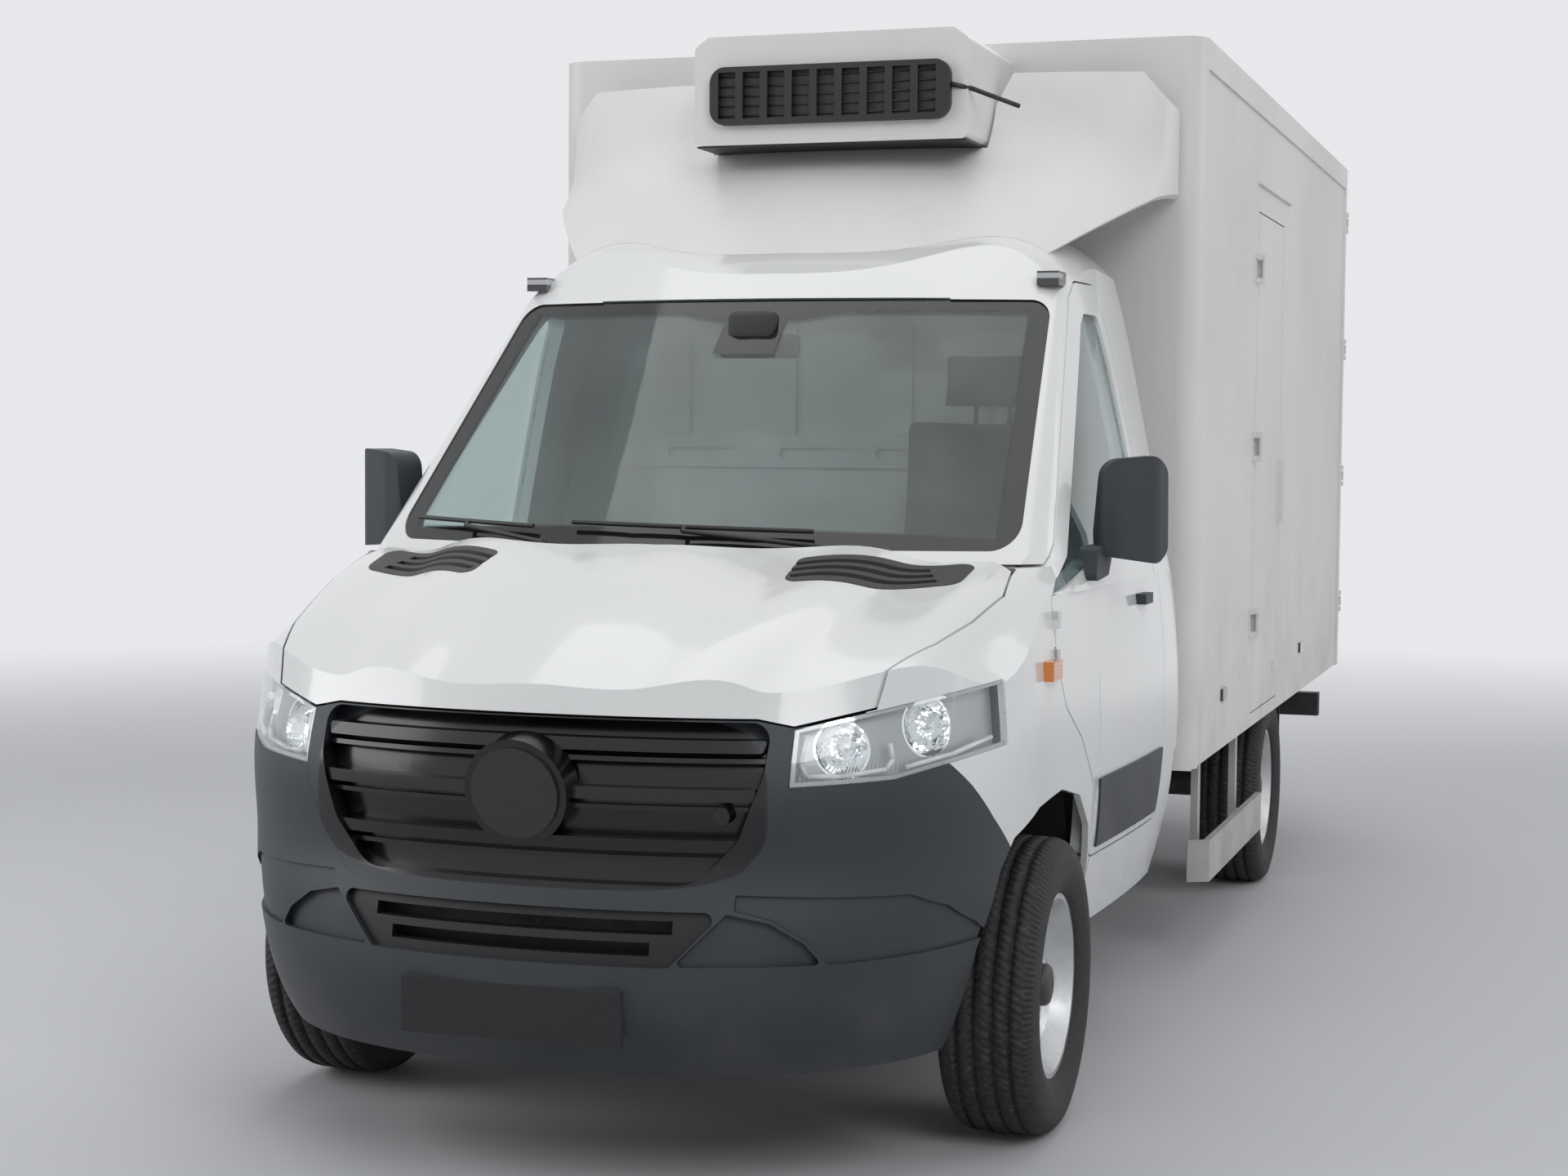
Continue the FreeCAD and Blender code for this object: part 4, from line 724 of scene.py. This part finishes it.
def makeSeat(base):
    pads = [makePad(name, pad, padCut) for name, pad in seatPads.items()]
    bm = bmesh.new()
    for part in ("foot", "shell"):
        low, high, rounding = base[part]
        addBlock(bm, at(*low), at(*high), rounding)
    for x in base["stalks"]:
        addRod(bm, at(x, *base["stalkFoot"]), at(x, *base["stalkTop"]), base["stalk"], 12)
    keepPiece("seat_base", bm, cabinPlastic, "root")
    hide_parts("driver_seat")


makeSeat(seatBase)

# Headlamps: light-guide strips behind the lenses, each a path of x and z
lightGuides = {
    "radius": 0.0055, "depth": 0.016, "ahead": -4.0,
    "inner": [(590, 1020), (584, 962), (598, 936), (660, 934), (742, 946), (752, 966), (744, 1000)],
    "outer": [(775, 948), (850, 968), (905, 994), (925, 1030), (928, 1080)],
}


def guideStrip(bm, path, side, plan):
    points = []
    for x, z in path:
        start = Vector((side * x / 1000.0, plan["ahead"], z / 1000.0))
        hit = onSurface("headlamp_lenses", start, Vector((0.0, 1.0, 0.0)), -plan["depth"])
        if hit is not None:
            points.append(hit)
    for a, b in zip(points, points[1:]):
        addRod(bm, a, b, plan["radius"], 8)


for side in (1, -1):
    bm = bmesh.new()
    for part in ("inner", "outer"):
        guideStrip(bm, lightGuides[part], side, lightGuides)
    keepPiece("light_guides_" + sideOf(side), bm, guideWhite, "root")
print("lamps done")

# Rear view glasses on the mirrors, turned a little towards the driver
mirrorGlass = {"turn": 20.0, "half": 0.066, "thick": 0.003, "low": 1.392, "high": 1.585, "edge": 0.0012,
               "root": (0.948, 0.435), "along": 0.100, "back": 0.043}


def makeMirrorGlass(side, plan):
    turn = math.radians(plan["turn"])
    half = plan["half"]
    bm = bmesh.new()
    addBlock(bm, Vector((-half, 0.0, plan["low"])), Vector((half, plan["thick"], plan["high"])), plan["edge"])
    bmesh.ops.rotate(bm, cent=(0, 0, 0), matrix=Matrix.Rotation(turn * side, 3, "Z"), verts=bm.verts)
    out = plan["root"][0] + plan["along"] * math.cos(turn) - plan["back"] * math.sin(turn)
    behind = plan["root"][1] + plan["along"] * math.sin(turn) + plan["back"] * math.cos(turn)
    bmesh.ops.translate(bm, vec=(side * out, frontAxleY + behind, 0.0), verts=bm.verts)
    keepPiece("mirror_glass_" + sideOf(side), bm, brightMetal, "cab_door_" + sideOf(side),
              smooth=False)


for side in (1, -1):
    makeMirrorGlass(side, mirrorGlass)

# Sensor housing and inner mirror behind the windscreen
innerMirror = {"sensor": ((-70, 520, 1900), (60, 600, 1985), 0.020),
               "mirror": ((-120, 590, 1862), (110, 622, 1925), 0.014),
               "arm": ((-5, 560, 1930), (-5, 610, 1895), 0.008)}


def makeInnerMirror(plan):
    bm = bmesh.new()
    for part in ("sensor", "mirror"):
        low, high, rounding = plan[part]
        addBlock(bm, at(*low), at(*high), rounding, 3)
    start, end, radius = plan["arm"]
    addRod(bm, at(*start), at(*end), radius, 12)
    keepPiece("inner_mirror", bm, cabinPlastic, "root")


makeInnerMirror(innerMirror)

# Rubber seals round the box doors, carried by the doors
sideX = 1012.0      # the box's side skin
seals = {"lip": 2.5, "side": ((sideX - 18.0, 2820, 722), (sideX - 4.0, 3460, 2420)),
         "rearAcross": (4, 944), "rearAlong": (5422, 5434), "rearUp": (765, 2738)}


def sealRing(bm, low, high, flatAxis):
    # four strips round a door, just outside its edge
    lip = seals["lip"]
    a, b = [i for i in range(3) if i != flatAxis]
    for axis, other in ((a, b), (b, a)):
        for end in (0, 1):
            p, q = list(low), list(high)
            if end:
                p[axis] = high[axis]
                q[axis] = high[axis] + lip
            else:
                q[axis] = low[axis]
                p[axis] = low[axis] - lip
            if axis == a:
                p[other] -= lip
                q[other] += lip
            addBlock(bm, at(*p), at(*q))


def makeSeals(plan):
    bm = bmesh.new()
    sealRing(bm, *plan["side"], 0)
    keepPiece("side_door_seal", bm, rubber, "box_side_door", smooth=False)
    for side in (1, -1):
        bm = bmesh.new()
        across = sorted(side * x for x in plan["rearAcross"])
        low, high = zip(across, plan["rearAlong"], plan["rearUp"])
        sealRing(bm, low, high, 1)
        keepPiece("rear_door_seal_" + sideOf(side), bm, rubber, "rear_door_" + sideOf(side),
                  smooth=False)


makeSeals(seals)

# Rivets along the skirt and up the front corner profiles
rivets = {"radius": 0.0032, "taper": 2.2, "tall": 0.0016, "pitch": 150.0, "doorGap": (2760, 3520),
          "skirt": (1760, 5330), "skirtZ": 815, "corner": (760, 2720), "cornerY": 1690}


def addRivet(bm, place, side, plan):
    out = Vector((side, 0.0, 0.0))
    addRod(bm, place, place + out * plan["tall"], plan["radius"], 8, plan["radius"] / plan["taper"])


def stepped(ends, pitch):
    count = math.ceil((ends[1] - ends[0]) / pitch)
    return [ends[0] + pitch * index for index in range(count)]


def makeRivets(plan):
    bm = bmesh.new()
    for side in (1, -1):
        for y in stepped(plan["skirt"], plan["pitch"]):
            if side < 0 or not plan["doorGap"][0] < y < plan["doorGap"][1]:
                addRivet(bm, at(side * sideX, y, plan["skirtZ"]), side, plan)
        for z in stepped(plan["corner"], plan["pitch"]):
            addRivet(bm, at(side * sideX, plan["cornerY"], z), side, plan)
    keepPiece("rivets", bm, aluminium, "root")


makeRivets(rivets)

# Lock rods' handles and keepers on the rear doors
lockParts = {"keepers": (900, 1700, 2560), "keeperTall": 46, "keeper": (36, 84), "keeperAlong": (5438, 5441),
             "handle": 1180, "handleTall": 26, "handleAcross": (48, 300), "handleAlong": (5443, 5458)}


def makeLocks(side, plan):
    bm = bmesh.new()

    def plate(across, along, z, tall, rounding):
        low, high = sorted(side * x for x in across)
        addBlock(bm, at(low, along[0], z), at(high, along[1], z + tall), rounding)

    for z in plan["keepers"]:
        plate(plan["keeper"], plan["keeperAlong"], z, plan["keeperTall"], 0.001)
    plate(plan["handleAcross"], plan["handleAlong"], plan["handle"], plan["handleTall"], 0.005)
    keepPiece("lock_parts_" + sideOf(side), bm, brightMetal, "rear_door_" + sideOf(side))


for side in (1, -1):
    makeLocks(side, lockParts)
print("box fittings done")

# Cooling unit: cross bars in its grille, a stay, and a thin black strip below it that paints the shadow in the
# gap under the unit
gratePlan = {"low": -308, "high": 388, "y": 1063, "heights": (2571, 2599, 2627, 2655, 2683), "bar": 0.0022,
             "stay": [(395, 1062, 2640), (452, 1085, 2628), (560, 1200, 2590)], "stayRadius": 0.007,
             "slot": ((-366, 1082, 2484.6), (438, 1560, 2489.6))}


def makeGrate(plan):
    bm = bmesh.new()
    for z in plan["heights"]:
        addRod(bm, at(plan["low"], plan["y"], z), at(plan["high"], plan["y"], z), plan["bar"], 8)
    keepPiece("grate_bars", bm, darkTrim, "root")
    bm = bmesh.new()
    for start, end in zip(plan["stay"], plan["stay"][1:]):
        addRod(bm, at(*start), at(*end), plan["stayRadius"], 10)
    keepPiece("unit_stay", bm, darkTrim, "root")
    # painted shadow: a thin black plastic strip standing for the shade in the gap between the unit and the
    # deflector
    bm = bmesh.new()
    low, high = plan["slot"]
    addBlock(bm, at(*low), at(*high))
    keepPiece("painted_shadow_strip", bm, darkTrim, "root", smooth=False)


makeGrate(gratePlan)

# Floor, background and lamps
stageLook = {"floor": tone(0.62, 0.63, 0.65), "far": tone(0.80, 0.81, 0.83), "fill": tone(0.95, 0.97, 1.0),
             "fillStrength": 0.30, "fadeFrom": 4.5, "fadeTo": 13.0, "floorHalf": 120.0}
lampAim = (0.0, -0.5, 1.0)
lamps = {
    "key": {"place": (6.0, -9.0, 7.5), "size": 5.0, "power": 300.0},
    "left": {"place": (9.0, 2.0, 5.0), "size": 6.0, "power": 150.0},
    "right": {"place": (-8.0, -6.0, 5.0), "size": 6.0, "power": 300.0},
    "top": {"place": (0.0, -1.0, 8.5), "size": 8.0, "power": 190.0},
    "rear": {"place": (-2.0, 9.0, 5.0), "size": 6.0, "power": 130.0},
}


def makeStage(look):
    finish = Finish("paleFloor")
    path = finish.node("ShaderNodeLightPath")
    seen = Value(finish, path.outputs["Is Camera Ray"]).larger(Value(finish, path.outputs["Is Glossy Ray"]))
    distance = finish.root(finish.x * finish.x + finish.y * finish.y)
    fade = finish.ramp(distance, look["fadeFrom"], look["fadeTo"]) * seen
    cloudy = finish.mixed(finish.noise(0.8, 2.0) * 0.1, look["floor"], look["far"])
    plain = finish.surface({"Base Color": cloudy, "Roughness": 0.8})
    far = finish.node("ShaderNodeEmission", {}, {"Color": look["far"], "Strength": 1.0}).outputs[0]
    material = finish.done(finish.node("ShaderNodeMixShader", {}, {0: fade, 1: plain, 2: far}).outputs[0])
    bm = bmesh.new()
    bmesh.ops.create_grid(bm, x_segments=4, y_segments=4, size=look["floorHalf"])
    mesh = bpy.data.meshes.new("floor")
    bm.to_mesh(mesh)
    bm.free()
    mesh.materials.append(material)
    floor = bpy.data.objects.new("floor", mesh)
    bpy.context.scene.collection.objects.link(floor)
    world = bpy.data.worlds.new("softRoom")
    bpy.context.scene.world = world
    world.use_nodes = True
    tree = world.node_tree
    tree.nodes.clear()
    out = tree.nodes.new("ShaderNodeOutputWorld")
    both = tree.nodes.new("ShaderNodeMixShader")
    rays = tree.nodes.new("ShaderNodeLightPath")
    most = tree.nodes.new("ShaderNodeMath")
    most.operation = "MAXIMUM"
    seen = tree.nodes.new("ShaderNodeMath")
    seen.operation = "MAXIMUM"
    backing = tree.nodes.new("ShaderNodeBackground")
    backing.inputs["Color"].default_value = look["far"]
    fill = tree.nodes.new("ShaderNodeBackground")
    fill.inputs["Color"].default_value = look["fill"]
    fill.inputs["Strength"].default_value = look["fillStrength"]
    tree.links.new(rays.outputs["Is Camera Ray"], most.inputs[0])
    tree.links.new(rays.outputs["Is Transmission Ray"], most.inputs[1])
    tree.links.new(most.outputs[0], seen.inputs[0])
    tree.links.new(rays.outputs["Is Glossy Ray"], seen.inputs[1])
    tree.links.new(seen.outputs[0], both.inputs[0])
    tree.links.new(fill.outputs[0], both.inputs[1])
    tree.links.new(backing.outputs[0], both.inputs[2])
    tree.links.new(both.outputs[0], out.inputs["Surface"])


def makeLamps(plan):
    for name, lamp in plan.items():
        data = bpy.data.lights.new(name + "Lamp", "AREA")
        data.shape = "SQUARE"
        data.size = lamp["size"]
        data.energy = lamp["power"]
        light = bpy.data.objects.new(name + "Lamp", data)
        light.location = lamp["place"]
        aim = Vector(lampAim) - Vector(lamp["place"])
        light.rotation_euler = aim.to_track_quat("-Z", "Y").to_euler()
        bpy.context.scene.collection.objects.link(light)


makeStage(stageLook)
makeLamps(lamps)
makeCamera(cameraView)
bpy.context.scene.view_settings.view_transform = "Standard"

print("scene ready")
